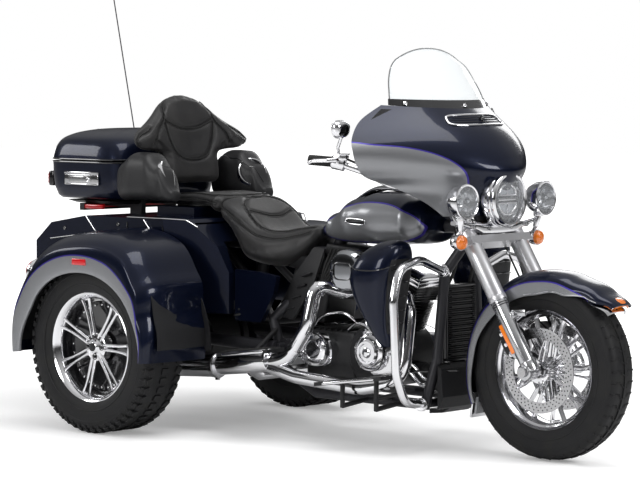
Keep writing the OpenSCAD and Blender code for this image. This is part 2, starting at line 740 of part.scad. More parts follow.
module rounded_block(x0, x1, half, r, z0, z1) {
    translate([0, 0, z0]) linear_extrude(z1 - z0) {
        translate([x0 + r, -half]) square([x1 - x0 - 2 * r, 2 * half]);
        translate([x0, -half + r]) square([x1 - x0, 2 * half - 2 * r]);
        for (x = [x0 + r, x1 - r], y = [r - half, half - r]) translate([x, y]) circle(r);
    }
}

module luggage_box() {
    corner = 60;
    wall = case_wall;
    ear = 40;
    color([0.03, 0.04, 0.09]) {
        difference() {
            rounded_block(case_rear, case_front, case_half, corner, case_floor, case_split - panel_gap / 2);
            rounded_block(case_rear + wall, case_front - wall, case_half - wall, corner - wall,
                case_floor + wall, case_split + 10);
        }
        // latch on the right side
        translate([case_rear + 130, -case_half - 10, 906]) cube([190, 10, 44]);
        // hinge ears on the left side, with the pins between them
        for (x = hinge_places) {
            for (end = [-1, 1]) translate([x + end * ear - 4, case_half, case_split - 24]) cube([8, 22, 30]);
            translate([x - ear, lid_pin[1], lid_pin[2]]) rotate([0, 90, 0]) cylinder(h = 2 * ear, r = pin_r);
        }
    }
}
hinge_places = [case_rear + 120, case_front - 120];

module luggage_lid() {
    n = 32;
    low = case_split + panel_gap / 2;
    barrel = 34;
    // Level outlines: height, gap to the rear, to the front and to the sides
    levels = [[low, 0, 0, 0], [low + 30, 2, 6, 4], [1066, 10, 18, 14], [1094, 30, 44, 34],
        [1114, 70, 90, 80], [case_top, 130, 150, 150]];
    function ring(z, rear, front, half, p = 5) = [for (i = [0:n - 1])
        let (a = 360 * i / n, s = sin(a), c = cos(a), mid = (rear + front) / 2, l = (front - rear) / 2)
        [mid - l * sign(s) * pow(abs(s), 2 / p), half * sign(c) * pow(abs(c), 2 / p), z]];
    color([0.03, 0.04, 0.09]) difference() {
        union() {
            difference() {
                loft([for (v = levels) ring(v[0], case_rear + v[1], case_front - v[2], case_half - v[3])]);
                loft([for (i = [0:len(levels) - 1]) let (v = levels[i], w = case_wall)
                    ring(i == 0 ? low - 2 : v[0] - w, case_rear + v[1] + w, case_front - v[2] - w,
                        case_half - v[3] - w)]);
            }
            for (x = hinge_places) translate([x - barrel, 0, 0]) {
                translate([0, lid_pin[1], lid_pin[2]]) rotate([0, 90, 0]) cylinder(h = 2 * barrel, r = pin_r + 4);
                translate([0, case_half - 4, low + 2]) cube([2 * barrel, lid_pin[1] - case_half + 4, 6]);
            }
        }
        for (x = hinge_places) translate([x - 60, lid_pin[1], lid_pin[2]]) rotate([0, 90, 0])
            cylinder(h = 120, r = pin_r + fit_gap);
    }
}

module luggage_rack() {
    color([0.08, 0.08, 0.09]) both_sides() translate([-300, 120, boot_top])
        cube([case_front + 300 - 20, 24, case_floor - boot_top]);
    // light bar under the box
    color([0.6, 0.02, 0.02]) translate([-470, -255, case_floor - 44]) cube([26, 510, 28]);
    color([0.08, 0.08, 0.09]) both_sides() translate([-456, 120, case_floor - 30]) cube([160, 24, 30]);
}

module antenna() {
    color([0.1, 0.1, 0.1]) {
        translate([mast_foot[0] - 12, mast_foot[1] - 14, case_floor - 6]) cube([60, 28, 6]);
        rod([mast_foot[0], mast_foot[1], case_floor - 3], mast_foot, 7);
        rod(mast_foot, mast_tip, 2.5);
        translate(mast_foot) sphere(7);
        translate(mast_tip) sphere(mast_tip_r);
    }
}

// ---------------------------------------------------------------- fittings on the frame

module footboards() {
    color([0.1, 0.1, 0.1]) difference() {
        both_sides() {
            // rider's boards
            translate([894, 272, 228]) rotate([0, -8, 0]) cube([320, 108, 14]);
            for (x = [960, 1120]) {
                rod([x, rail_y, 170], [x, 300, 156], 9);
                rod([x, 300, 150], [x, 300, 236 + (x - 894) * 0.14], 9);
            }
            // pillion's boards
            translate([420, 300, 300]) rotate([0, -7, 0]) cube([256, 92, 14]);
            rod([500, rail_y, 396], [540, 320, 320], 9);
        }
        cradle(rail_r);
    }
    // brake pedal on the right, shift lever on the left
    color([0.75, 0.75, 0.77]) for (side = [-1, 1]) {
        rod([1080, side * (rail_y + rail_r + 1), 186], [1080, side * 250, 186], 9);
        rod([1080, side * 250, 186], [1226, side * 256, 226], 8);
        translate([1200, side * 285 - 35, 228]) cube([56, 70, 12]);
    }
}

module engine_guard() {
    upper = [1272, 388, 560];
    lower = [1276, 376, 300];
    color([0.82, 0.82, 0.84]) difference() {
        both_sides() {
            tube([[1262, 84, 640], [1266, 240, 694], [1266, 352, 668], upper, lower,
                [1268, 320, 196], [1216, rail_y, 170]], guard_r - 0.8);
            rod(mix(upper, lower, 0.08), mix(upper, lower, 0.92), guard_r);
        }
        cradle(rail_r);
    }
}

// Leg shields: height, middle in x, half length, middle in y, half width
shield_levels = [[406, 1165, 30, 292, 50], [450, 1156, 44, 292, 66], [500, 1140, 64, 290, 78],
    [560, 1122, 90, 288, 86], [620, 1112, 106, 286, 92], [670, 1114, 108, 284, 90],
    [715, 1130, 96, 280, 80], [748, 1168, 58, 274, 62]];

module lower_fairings() {
    n = 24;
    p = 3;
    color([0.03, 0.04, 0.08]) both_sides()
        loft([for (v = shield_levels) [for (i = [0:n - 1])
            let (a = 360 * i / n, s = sin(a), c = cos(a))
            [v[1] - v[2] * sign(s) * pow(abs(s), 2 / p), v[3] + v[4] * sign(c) * pow(abs(c), 2 / p), v[0]]]]);
}

// ---------------------------------------------------------------- steering

module fork_tubes(r, low, high) {
    both_sides() rod([fork_x(low), fork_y, low], [fork_x(high), fork_y, high], r);
}

module yoke_plate(z, grow = 0) {
    translate([head_x(z), 0, z]) rotate([0, -rake, 0])
        translate([-22 - grow, -fork_y - 36 - grow, -14 - grow])
            cube([66 + 2 * grow, 2 * (fork_y + 36 + grow), 28 + 2 * grow]);
}

module fork_yokes() {
    color([0.78, 0.78, 0.8]) difference() {
        union() {
            yoke_plate(yoke_low_z);
            yoke_plate(yoke_top_z);
            rod([head_x(yoke_low_z), 0, yoke_low_z], [head_x(yoke_top_z + 14), 0, yoke_top_z + 14], stem_r);
        }
        fork_tubes(upper_r + fit_gap, 600, 1000);
    }
}

module fork_legs() {
    color([0.8, 0.8, 0.82]) difference() {
        union() {
            fork_tubes(upper_r, 590, yoke_top_z + 16);
            fork_tubes(slider_r, 300, 602);
            both_sides() translate([wheelbase, 132, front_tyre_r]) across(0, 0, 27, 28);
        }
        translate([wheelbase, 0, front_tyre_r]) across(0, 0, front_axle_r + fit_gap, 200);
    }
}

module front_axle() {
    color([0.7, 0.7, 0.72]) translate([wheelbase, 0, front_tyre_r]) {
        across(0, 0, front_axle_r, 166);
        both_sides() {
            translate([0, 169, 0]) across(0, 0, 18, 5);
            translate([0, 93.5, 0]) across(0, 0, 19, 9.5);
        }
    }
}

module brake_calipers() {
    disc_y = 72;
    color([0.08, 0.08, 0.08]) difference() {
        both_sides() translate([wheelbase, 0, front_tyre_r]) rotate([0, -152, 0]) {
            translate([96, 52, -58]) cube([78, 58, 116]);
            translate([118, 100, -110]) cube([34, 26, 60]);
        }
        both_sides() translate([wheelbase, disc_y, front_tyre_r]) across(0, 0, disc_r + 5, 7.5);
        fork_tubes(slider_r, 290, 602);
    }
}

front_crown = [[38, 392], [50, 372], [70, 354], [95, 346], [130, 340], [170, 338], [206, 340]];
front_skirt = [[38, 372], [50, 330], [70, 285], [95, 262], [130, 262], [170, 280], [206, 306]];

module front_fender() {
    side_y = 88;
    angles = [for (a = [206:-12:38]) a];
    function section(a, d) = let (c = along(front_crown, a), s = along(front_skirt, a), y = side_y - d)
        [[y + 1, s], [y, mix(s, c, 0.4)], [y - 3, mix(s, c, 0.72) - 0.3 * d], [y * 0.84, mix(s, c, 0.91) - 0.7 * d],
         [y * 0.55, c - 4 - d], [y * 0.28, c - 1 - d], [0, c - d]];
    function full(a, d) = let (h = section(a, d), m = len(h))
        concat([for (i = [0:m - 1]) [-h[i][0], h[i][1]]], [for (i = [m - 2:-1:0]) h[i]]);
    color([0.03, 0.04, 0.09]) translate([wheelbase, 0, front_tyre_r]) {
        shell([for (a = angles) [for (p = full(a, 0)) [p[1] * cos(a), p[0], p[1] * sin(a)]]],
            [for (a = angles) [for (p = full(a, skin)) [p[1] * cos(a), p[0], p[1] * sin(a)]]]);
    }
    // brackets from the fork sliders to the fender's sides
    color([0.7, 0.7, 0.72]) difference() {
        both_sides() translate([fork_x(560) - 36, side_y + 4, 520]) cube([64, 26, 70]);
        fork_tubes(slider_r, 290, 602);
    }
}

// Rows of the handlebar fairing: middle x and z, half width, side x and z, in share of fairing_half
fairing_rows = [[1290, 1225, 0.655, 1135, 1238], [1334, 1195, 0.84, 1112, 1184], [1394, 1150, 0.96, 1122, 1124],
    [1440, 1100, 1, 1142, 1074], [1474, 1050, 0.965, 1148, 1024], [1492, 1006, 0.86, 1148, 984],
    [1470, 950, 0.68, 1200, 950], [1444, 900, 0.54, 1290, 900], [1426, 850, 0.46, 1350, 850]];

module fairing() {
    u_steps = [for (i = [-8:8]) i / 8];
    function point(r, u, d) = let (k = r[2] * fairing_half, y = u * (k - d))
        [mix(r[3], r[0], 1 - pow(abs(u), 2.4)) - d * (1 - 0.75 * abs(u)), y, mix(r[1], r[4], u * u)];
    color([0.03, 0.04, 0.09]) translate([nose, 0, 0]) difference() {
        shell([for (r = fairing_rows) [for (u = u_steps) point(r, u, 0)]],
            [for (r = fairing_rows) [for (u = u_steps) point(r, u, skin)]]);
        translate([1300, 0, lamp_at[2]]) rotate([0, 90, 0]) cylinder(h = 300, r = headlamp_r + 3);
    }
}

module inner_fairing() {
    half = 250;
    color([0.07, 0.07, 0.07]) translate([nose, 0, 0]) difference() {
        translate([0, half, 0]) rotate([90, 0, 0]) linear_extrude(2 * half) polygon([
            [1056, 1010], [1110, 966], [1200, 966], [1226, 1060], [1200, 1160], [1140, 1186], [1080, 1130], [1056, 1060]
        ]);
        // two large and four small dials
        for (y = [-62, 62]) dial_pocket(y, 1100, 46);
        for (y = [-190, -132, 132, 190]) dial_pocket(y, 1100, 24);
    }
}

module dial_pocket(y, z, r) {
    translate([1056, y, z]) rotate([0, 62, 0]) cylinder(h = 24, r = r, center = true);
}

// Rows of the windshield from its top edge: middle x and z, half width, side x and z
shield_rows = [[1102, shield_top, 176, 1096, 1398], [1128, 1408, 212, 1106, 1372], [1176, 1350, 240, 1120, 1326],
    [1228, 1285, 258, 1138, 1280], [1276, 1222, 268, 1150, 1236]];

module windshield() {
    thick = 4.5;
    u_steps = [for (i = [-7:7]) i / 7];
    function point(r, u, d) = [mix(r[3], r[0], 1 - pow(abs(u), 2.2)) - d, u * r[2],
        mix(r[1], r[4], pow(abs(u), 2.2)) - 0.4 * d];
    color([0.75, 0.78, 0.8, 0.4]) translate([nose, 0, 0])
        shell([for (r = shield_rows) [for (u = u_steps) point(r, u, 0)]],
            [for (r = shield_rows) [for (u = u_steps) point(r, u, thick)]]);
}

module headlamp() {
    color([0.85, 0.85, 0.87]) translate(lamp_at) rotate([0, 90, 0]) {
        // stem of the bucket, the bucket and its bezel
        translate([0, 0, -68]) cylinder(h = 40, r = headlamp_r / 2);
        translate([0, 0, -36]) cylinder(h = 42, r = headlamp_r - 6);
        cylinder(h = 22, r = headlamp_r);
    }
}

module light_bar() {
    spot_r = 63;
    color([0.85, 0.85, 0.87]) {
        both_sides() {
            translate(spot_at - [42, 0, 0]) rotate([0, 90, 0]) cylinder(h = 68, r = spot_r);
            translate(signal_at - [30, 0, 0]) rotate([0, 90, 0]) cylinder(h = 40, r = 29);
            rod([signal_at[0], signal_at[1], signal_at[2] + 26], [signal_at[0], spot_at[1], spot_at[2] - spot_r + 4], 8);
        }
        across(signal_at[0] + 8, 800, 9, signal_at[1]);
        difference() {
            both_sides() rod([signal_at[0] + 8, 70, 800], [signal_at[0] - 6, 70, 760], 8);
            yoke_plate(yoke_low_z);
        }
    }
}

module handlebar() {
    bar_r = 12.5;
    color([0.75, 0.75, 0.77]) difference() {
        translate([nose, 0, 0]) both_sides() {
            tube([[1268, 0, 944], [1262, 96, 944], [1190, 282, 948], [1090, 345, 1004], [1000, 392, 1036],
                [916, 426, 1042]], bar_r);
            rod([994, 394, 1036], [910, 428, 1042], 19);
            // clamp risers, brake and clutch levers with their housings
            rod([1268, 50, 944], [1320, 50, 916], 14);
            rod([1036, 372, 1026], [986, 397, 1037], 27);
            tube([[1016, 384, 1044], [1030, 410, 1046], [960, 462, 1040]], 6, 12);
            // mirror and its stem
            tube([[1012, 386, 1050], [1030, 410, 1090], [1052, 420, 1120]], 6, 12);
            translate([1052, 420, 1150]) rotate([0, 90, 10]) cylinder(h = 18, r = 42, center = true);
        }
        yoke_plate(yoke_top_z);
    }
}

place() frame();
place() seat_frame();
place() swingarm();
place() rear_axle();
place() drive_belt();
place() crankcase();
place() cylinders();
place() primary_cover();
place() air_cleaner();
place() exhaust_headers();
place() mufflers();
place() front_cowl();
place() fuel_tank();
place() tank_console();
place() fuel_door();
place() seat();
place() backrest();
place() speaker_pods();
place() side_covers();
place() rear_body();
place() boot_hinges();
place() boot_door();
place() rear_fender(1);  // rear_fender_left
place() rear_fender(-1);  // rear_fender_right
place() tail_lamps();
place() luggage_box();
place() luggage_lid();
place() luggage_rack();
place() antenna();
place() footboards();
place() engine_guard();
place() lower_fairings();
place() fork_yokes();
place() fork_legs();
place() front_axle();
place() brake_calipers();
place() front_fender();
place() fairing();
place() inner_fairing();
place() windshield();
place() headlamp();
place() light_bar();
place() handlebar();
place() front_tyre();
place() front_wheel();
place() rear_tyre(1);  // rear_tyre_left
place() rear_tyre(-1);  // rear_tyre_right
place() rear_wheel(1);  // rear_wheel_left
place() rear_wheel(-1);  // rear_wheel_right
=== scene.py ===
"""A full-size touring trike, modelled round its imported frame.

Lengths are millimetres in the rear axle's own frame: X forward from the
axle, Y to the rider's left and Z up from the ground.
"""
import logging
import math
from dataclasses import dataclass
from enum import Enum
from typing import Callable, Iterable, Optional, Sequence
import bmesh
import bpy
from mathutils import Euler, Matrix, Vector
from mathutils.bvhtree import BVHTree
from mathutils.kdtree import KDTree


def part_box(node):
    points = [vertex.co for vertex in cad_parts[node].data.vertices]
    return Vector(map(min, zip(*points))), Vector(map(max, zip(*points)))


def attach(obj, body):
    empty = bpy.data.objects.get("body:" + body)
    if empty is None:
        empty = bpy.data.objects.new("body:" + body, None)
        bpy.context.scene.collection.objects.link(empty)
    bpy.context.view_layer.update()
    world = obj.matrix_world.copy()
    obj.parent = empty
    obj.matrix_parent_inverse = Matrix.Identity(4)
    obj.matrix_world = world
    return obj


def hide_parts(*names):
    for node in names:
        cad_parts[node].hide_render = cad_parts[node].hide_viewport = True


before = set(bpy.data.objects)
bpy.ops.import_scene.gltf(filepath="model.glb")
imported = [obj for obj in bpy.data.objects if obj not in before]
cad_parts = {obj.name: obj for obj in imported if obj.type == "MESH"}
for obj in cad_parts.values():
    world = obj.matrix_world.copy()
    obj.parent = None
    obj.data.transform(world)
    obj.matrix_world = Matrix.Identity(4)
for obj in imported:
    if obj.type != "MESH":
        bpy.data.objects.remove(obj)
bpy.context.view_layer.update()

LOG = logging.getLogger("trike")
MM = 0.001
MERGE = 0.004
BEVEL_ANGLE = math.radians(40)
Point = Sequence[float]
Colour = tuple[float, float, float]
Table = Sequence[tuple[float, float]]
_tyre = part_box("rear_tyre_left")
TO_ROW = Matrix.Translation(((_tyre[0].x + _tyre[1].x) / 2, 0, 0)) @ Matrix.Scale(MM, 4)


def corners(node: str) -> tuple[Vector, Vector]:
    """Returns a CAD node's lowest and highest corners, in millimetres."""
    low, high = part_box(node)
    back = TO_ROW.inverted()
    return back @ low, back @ high


class Body(Enum):
    """The CAD bodies that pieces ride on."""

    ROOT = "root"
    STEERING = "steering"
    FRONT_WHEEL = "front_wheel"
    REAR_LEFT = "rear_wheel_left"
    REAR_RIGHT = "rear_wheel_right"
    LID = "luggage_lid"
    BOOT = "boot_door"
    FUEL = "fuel_door"


class Side(Enum):
    """The rider's left and right, as the sign of Y."""

    LEFT = 1
    RIGHT = -1


# ---------------------------------------------------------------- curves


def mix(a: float, b: float, share: float) -> float:
    """Returns the value at a share of the way from a to b."""
    return a + (b - a) * share


def smooth(table: Table, x: float) -> float:
    """Reads a table of (x, value) with a smooth curve through its rows.

    Args:
        table: Rows in rising x.
        x: Where to read it.

    Returns:
        The value there, held level past both ends.
    """
    if x <= table[0][0]:
        return table[0][1]
    if x >= table[-1][0]:
        return table[-1][1]
    i = next(k for k in range(len(table) - 1) if x <= table[k + 1][0])
    (x0, a), (x1, b) = table[i], table[i + 1]
    before, after = table[max(i - 1, 0)], table[min(i + 2, len(table) - 1)]
    span = x1 - x0
    rise_a = (b - before[1]) / (x1 - before[0]) * span
    rise_b = (after[1] - a) / (after[0] - x0) * span
    t = (x - x0) / span
    return (
        a * (1 + 2 * t) * (1 - t) ** 2 + rise_a * t * (1 - t) ** 2
        + b * t * t * (3 - 2 * t) + rise_b * t * t * (t - 1)
    )


def along(table: Table, x: float) -> float:
    """Reads a table of (x, value) with an eased step between its rows.

    Args:
        table: Rows in rising x.
        x: Where to read it.

    Returns:
        The value there, held level past both ends.
    """
    if x <= table[0][0]:
        return table[0][1]
    for (x0, a), (x1, b) in zip(table, table[1:]):
        if x <= x1:
            t = (x - x0) / (x1 - x0)
            return mix(a, b, t * t * (3 - 2 * t))
    return table[-1][1]


def flowing(points: Sequence[Point], share: float) -> Vector:
    """Reads a smooth curve through points.

    Args:
        points: What the curve passes through, in order.
        share: From 0 at the first point to 1 at the last.

    Returns:
        The point there, on a Catmull-Rom curve.
    """
    last = len(points) - 1
    at = min(max(share, 0.0), 1.0) * last
    i = min(int(at), last - 1)
    t = at - i
    p = [Vector(points[min(max(k, 0), last)]) for k in (i - 1, i, i + 1, i + 2)]
    return 0.5 * (
        2 * p[1]
        + (p[2] - p[0]) * t
        + (2 * p[0] - 5 * p[1] + 4 * p[2] - p[3]) * t * t
        + (3 * p[1] - p[0] - 3 * p[2] + p[3]) * t * t * t
    )


def flow(points: Sequence[Point], steps: int) -> list[Vector]:
    """Returns a smooth curve through points, in a number of steps."""
    return [flowing(points, k / steps) for k in range(steps + 1)]


def bent(points: Sequence[Point], radius: float, steps: int = 6) -> list[Vector]:
    """Rounds the corners of a path.

    Args:
        points: The path's corners.
        radius: Bend radius at each inner corner.
        steps: Points that each bend takes.

    Returns:
        The rounded path.
    """
    path = [Vector(points[0])]
    for a, b, c in zip(points, points[1:], points[2:]):
        a, b, c = Vector(a), Vector(b), Vector(c)
        run_in, run_out = b - a, c - b
        half = run_in.angle(run_out) / 2
        reach = min(radius * math.tan(half), run_in.length * 0.48, run_out.length * 0.48)
        start, end = b - run_in.normalized() * reach, b + run_out.normalized() * reach
        for k in range(steps + 1):
            t = k / steps
            path.append(start * (1 - t) ** 2 + b * 2 * t * (1 - t) + end * t * t)
    path.append(Vector(points[-1]))
    return path


def superpower(value: float, power: float) -> float:
    """Returns value to a power, keeping its sign."""
    return math.copysign(abs(value) ** power, value)


def aimed(start: Point, end: Point) -> Matrix:
    """Returns the matrix that lays +Z from start towards end."""
    run = Vector(end) - Vector(start)
    return Matrix.Translation(start) @ run.to_track_quat("Z", "Y").to_matrix().to_4x4()


# ---------------------------------------------------------------- finishes


class Graph:
    """One material's node tree."""

    def __init__(self, name: str) -> None:
        """Starts an empty tree round the principled shader."""
        self.material = bpy.data.materials.new(name)
        self.material.use_nodes = True
        self.tree = self.material.node_tree
        self.shader = self.tree.nodes["Principled BSDF"]
        self.where = self.add("ShaderNodeTexCoord").outputs["Object"]

    def add(self, kind: str, **settings: object) -> bpy.types.Node:
        """Adds a node and sets its properties."""
        node = self.tree.nodes.new(kind)
        for key, value in settings.items():
            setattr(node, key, value)
        return node

    def feed(self, socket: bpy.types.NodeSocket, value: object) -> None:
        """Links an output into a socket, or sets a constant on it."""
        if isinstance(value, bpy.types.NodeSocket):
            self.tree.links.new(value, socket)
        elif isinstance(value, tuple) and len(value) == 3 and socket.type == "RGBA":
            socket.default_value = (*value, 1.0)
        else:
            socket.default_value = value

    def noise(self, scale: float, detail: float = 2.0) -> bpy.types.NodeSocket:
        """Returns a noise value that repeats about scale times in a metre."""
        node = self.add("ShaderNodeTexNoise")
        self.feed(node.inputs["Vector"], self.where)
        self.feed(node.inputs["Scale"], scale)
        self.feed(node.inputs["Detail"], detail)
        return node.outputs["Fac"]

    def cells(self, scale: float) -> bpy.types.NodeSocket:
        """Returns the distance to the nearest cell's middle, as in leather grain."""
        node = self.add("ShaderNodeTexVoronoi")
        self.feed(node.inputs["Vector"], self.where)
        self.feed(node.inputs["Scale"], scale)
        return node.outputs["Distance"]

    def spread(self, value: object, low: float, high: float) -> bpy.types.NodeSocket:
        """Spreads a 0 to 1 value over low to high."""
        node = self.add("ShaderNodeMapRange")
        for key, given in (("Value", value), ("To Min", low), ("To Max", high)):
            self.feed(node.inputs[key], given)
        return node.outputs["Result"]

    def window(self, value: object, low: float, high: float) -> bpy.types.NodeSocket:
        """Returns 0 below low and 1 above high, clamped."""
        node = self.add("ShaderNodeMapRange")
        for key, given in (("Value", value), ("From Min", low), ("From Max", high)):
            self.feed(node.inputs[key], given)
        return node.outputs["Result"]

    def maths(self, operation: str, a: object, b: object = 0.0) -> bpy.types.NodeSocket:
        """Returns the result of one arithmetic node."""
        node = self.add("ShaderNodeMath", operation=operation)
        self.feed(node.inputs[0], a)
        self.feed(node.inputs[1], b)
        return node.outputs[0]

    def blend(self, share: object, a: object, b: object) -> bpy.types.NodeSocket:
        """Returns a colour between a and b."""
        node = self.add("ShaderNodeMix", data_type="RGBA")
        for socket, value in zip((node.inputs[0], node.inputs[6], node.inputs[7]), (share, a, b)):
            self.feed(socket, value)
        return node.outputs[2]

    def axis(self, name: str) -> bpy.types.NodeSocket:
        """Returns one of the object coordinates, in metres."""
        node = self.add("ShaderNodeSeparateXYZ")
        self.feed(node.inputs[0], self.where)
        return node.outputs[name]

    def bump(self, height: object, strength: float, depth: float) -> None:
        """Raises the surface by a height, depth metres at full strength."""
        node = self.add("ShaderNodeBump")
        for key, value in (("Height", height), ("Strength", strength), ("Distance", depth)):
            self.feed(node.inputs[key], value)
        self.feed(self.shader.inputs["Normal"], node.outputs["Normal"])

    def dress(self, **sockets: object) -> None:
        """Feeds the shader's sockets, with _ for a space in a name."""
        for key, value in sockets.items():
            self.feed(self.shader.inputs[key.replace("_", " ")], value)


@dataclass(frozen=True)
class Finish:
    """A finish, made into one procedural material the first time it is asked for."""

    name: str
    slot: str

    def build(self, graph: Graph) -> None:
        """Lays the finish's nodes."""
        raise NotImplementedError

    def material(self) -> bpy.types.Material:
        """Returns the finish's material."""
        found = bpy.data.materials.get(self.name)
        if found is None:
            graph = Graph(self.name)
            self.build(graph)
            found = graph.material
        return found


@dataclass(frozen=True)
class Lacquer(Finish):
    """Flake paint under a clear coat."""

    deep: Colour
    light: Colour
    metal: float = 0.5
    rough: float = 0.3

    def build(self, graph: Graph) -> None:
        """Flakes vary the colour; a slow noise ripples the coat."""
        flakes = graph.window(graph.noise(2600.0, 1.0), 0.42, 0.62)
        graph.dress(Base_Color=graph.blend(flakes, self.deep, self.light), Metallic=self.metal,
            Roughness=graph.spread(graph.noise(30.0), self.rough - 0.04, self.rough + 0.05),
            Specular_IOR_Level=0.12, Coat_Weight=0.4, Coat_Roughness=0.06)
        graph.bump(graph.noise(260.0, 2.0), 0.04, 0.0004)


@dataclass(frozen=True)
class TwoTone(Finish):
    """Body colour with a second colour inside a pinstripe, by the piece's panel value."""

    deep: Colour
    light: Colour
    inner_deep: Colour
    inner_light: Colour
    stripe: Colour
    half_line: float = 2.2

    def build(self, graph: Graph) -> None:
        """The panel value is the distance inside the stripe, in millimetres."""
        panel = graph.add("ShaderNodeAttribute", attribute_name="panel").outputs["Fac"]
        flakes = graph.window(graph.noise(2600.0, 1.0), 0.42, 0.62)
        outer = graph.blend(flakes, self.deep, self.light)
        inner = graph.blend(flakes, self.inner_deep, self.inner_light)
        inside = graph.window(panel, -0.3, 0.3)
        line = graph.window(graph.maths("ABSOLUTE", panel), self.half_line + 0.4, self.half_line)
        painted = graph.blend(line, graph.blend(inside, outer, inner), self.stripe)
        graph.dress(Base_Color=painted, Metallic=graph.spread(inside, 0.45, 0.72),
            Roughness=graph.spread(inside, 0.28, 0.36), Specular_IOR_Level=0.12, Coat_Weight=0.4,
            Coat_Roughness=0.06)
        graph.bump(graph.noise(260.0, 2.0), 0.04, 0.0004)


@dataclass(frozen=True)
class Metal(Finish):
    """Bare or plated metal."""

    tone: Colour
    rough: float
    grain: float = 0.02

    def build(self, graph: Graph) -> None:
        """Fine marks vary the gloss, and a slow noise dulls patches."""
        worn = graph.noise(14.0, 4.0)
        dull = tuple(value * 0.82 for value in self.tone)
        graph.dress(Base_Color=graph.blend(worn, self.tone, dull), Metallic=1.0,
            Roughness=graph.spread(graph.noise(420.0, 3.0), self.rough * 0.7, self.rough * 1.4))
        graph.bump(graph.noise(900.0, 2.0), self.grain, 0.0003)


@dataclass(frozen=True)
class Coated(Finish):
    """Powder coat, cast enamel or moulded plastic."""

    tone: Colour
    rough: float
    texture: float = 0.25
    scale: float = 1500.0
    coat: float = 0.0

    def build(self, graph: Graph) -> None:
        """A pebbled skin with slow colour drift."""
        drift = graph.noise(9.0, 3.0)
        pale = tuple(value * 1.5 + 0.003 for value in self.tone)
        graph.dress(Base_Color=graph.blend(drift, self.tone, pale),
            Roughness=graph.spread(graph.noise(60.0, 2.0), self.rough * 0.85, self.rough * 1.15),
            Specular_IOR_Level=0.3, Coat_Weight=self.coat, Coat_Roughness=0.06)
        graph.bump(graph.cells(self.scale), self.texture, 0.0004)


@dataclass(frozen=True)
class Tread(Finish):
    """Tyre rubber, with dust in its hollows."""

    tone: Colour = (0.009, 0.009, 0.010)

    def build(self, graph: Graph) -> None:
        """Dusty grey patches over a fine skin."""
        dust = graph.window(graph.noise(22.0, 5.0), 0.45, 0.8)
        graph.dress(Base_Color=graph.blend(dust, self.tone, (0.019, 0.019, 0.018)),
            Roughness=graph.spread(dust, 0.55, 0.8), Specular_IOR_Level=0.25)
        graph.bump(graph.noise(700.0, 4.0), 0.2, 0.0005)


@dataclass(frozen=True)
class Leather(Finish):
    """Black leather with a pebbled grain, and creases where it is stretched."""

    tone: Colour = (0.010, 0.010, 0.011)

    def build(self, graph: Graph) -> None:
        """Grain cells over slow wrinkles, a little polished where the body rubs."""
        grain = graph.cells(620.0)
        wrinkles = graph.noise(70.0, 6.0)
        rubbed = graph.window(graph.noise(8.0, 3.0), 0.35, 0.75)
        graph.dress(Base_Color=graph.blend(rubbed, self.tone, (0.022, 0.021, 0.021)),
            Roughness=graph.spread(rubbed, 0.40, 0.56), Sheen_Weight=0.08, Sheen_Roughness=0.4,
            Specular_IOR_Level=0.4)
        height = graph.maths("ADD", graph.maths("MULTIPLY", grain, 0.5), wrinkles)
        graph.bump(height, 0.32, 0.0011)


@dataclass(frozen=True)
class Lens(Finish):
    """A lamp's coloured or clear lens, fluted on its inner face."""

    tone: Colour
    alpha: float = 1.0
    glow: float = 0.0
    flutes: float = 240.0

    def build(self, graph: Graph) -> None:
        """Flutes across Y catch the light under a glossy skin."""
        node = graph.add("ShaderNodeTexWave", bands_direction="Y")
        graph.feed(node.inputs["Vector"], graph.where)
        graph.feed(node.inputs["Scale"], self.flutes)
        deep = tuple(value * 0.55 for value in self.tone)
        graph.dress(Base_Color=graph.blend(node.outputs["Fac"], self.tone, deep),
            Roughness=graph.spread(graph.noise(50.0), 0.06, 0.14), Coat_Weight=1.0, Alpha=self.alpha,
            Emission_Color=self.tone, Emission_Strength=self.glow)
        graph.bump(node.outputs["Fac"], 0.25, 0.0008)


@dataclass(frozen=True)
class Screen(Finish):
    """Clear moulded sheet, dark along its printed base."""

    tone: Colour = (0.16, 0.165, 0.17)
    alpha: float = 0.29

    def build(self, graph: Graph) -> None:
        """A faint haze varies how much shows through."""
        haze = graph.noise(6.0, 3.0)
        graph.dress(Base_Color=graph.blend(haze, self.tone, (0.13, 0.135, 0.14)),
            Roughness=graph.spread(haze, 0.02, 0.06), Alpha=graph.spread(haze, self.alpha - 0.02,
            self.alpha + 0.03), Coat_Weight=0.2)


NAVY_DEEP, NAVY_LIGHT = (0.0022, 0.0034, 0.0105), (0.006, 0.010, 0.030)
SILVER_DEEP, SILVER_LIGHT = (0.20, 0.205, 0.215), (0.33, 0.335, 0.35)
NAVY = Lacquer("navy_lacquer", "paint_navy", NAVY_DEEP, NAVY_LIGHT)
TWO_TONE = TwoTone("two_tone_lacquer", "paint_navy", NAVY_DEEP, NAVY_LIGHT, SILVER_DEEP, SILVER_LIGHT,
    (0.05, 0.035, 0.30))
CHROME = Metal("chrome", "chrome", (0.72, 0.73, 0.75), 0.05)
BOWL = Metal("lamp_bowl", "chrome", (0.34, 0.35, 0.37), 0.12, 0.1)
SATIN = Metal("satin_alloy", "satin_alloy", (0.62, 0.63, 0.64), 0.30, 0.08)
POLISHED = Metal("polished_alloy", "satin_alloy", (0.58, 0.585, 0.60), 0.20, 0.05)
MIRROR = Metal("mirror_glass", "chrome", (0.86, 0.87, 0.88), 0.015, 0.0)
BRUSHED = Metal("polished_steel", "steel", (0.55, 0.55, 0.56), 0.22, 0.06)
GLOSS_BLACK = Coated("gloss_black", "trim_black", (0.006, 0.006, 0.007), 0.18, 0.05, 400.0, 1.0)
ENGINE_BLACK = Coated("wrinkle_black", "engine_black", (0.012, 0.012, 0.013), 0.42, 0.35, 900.0)
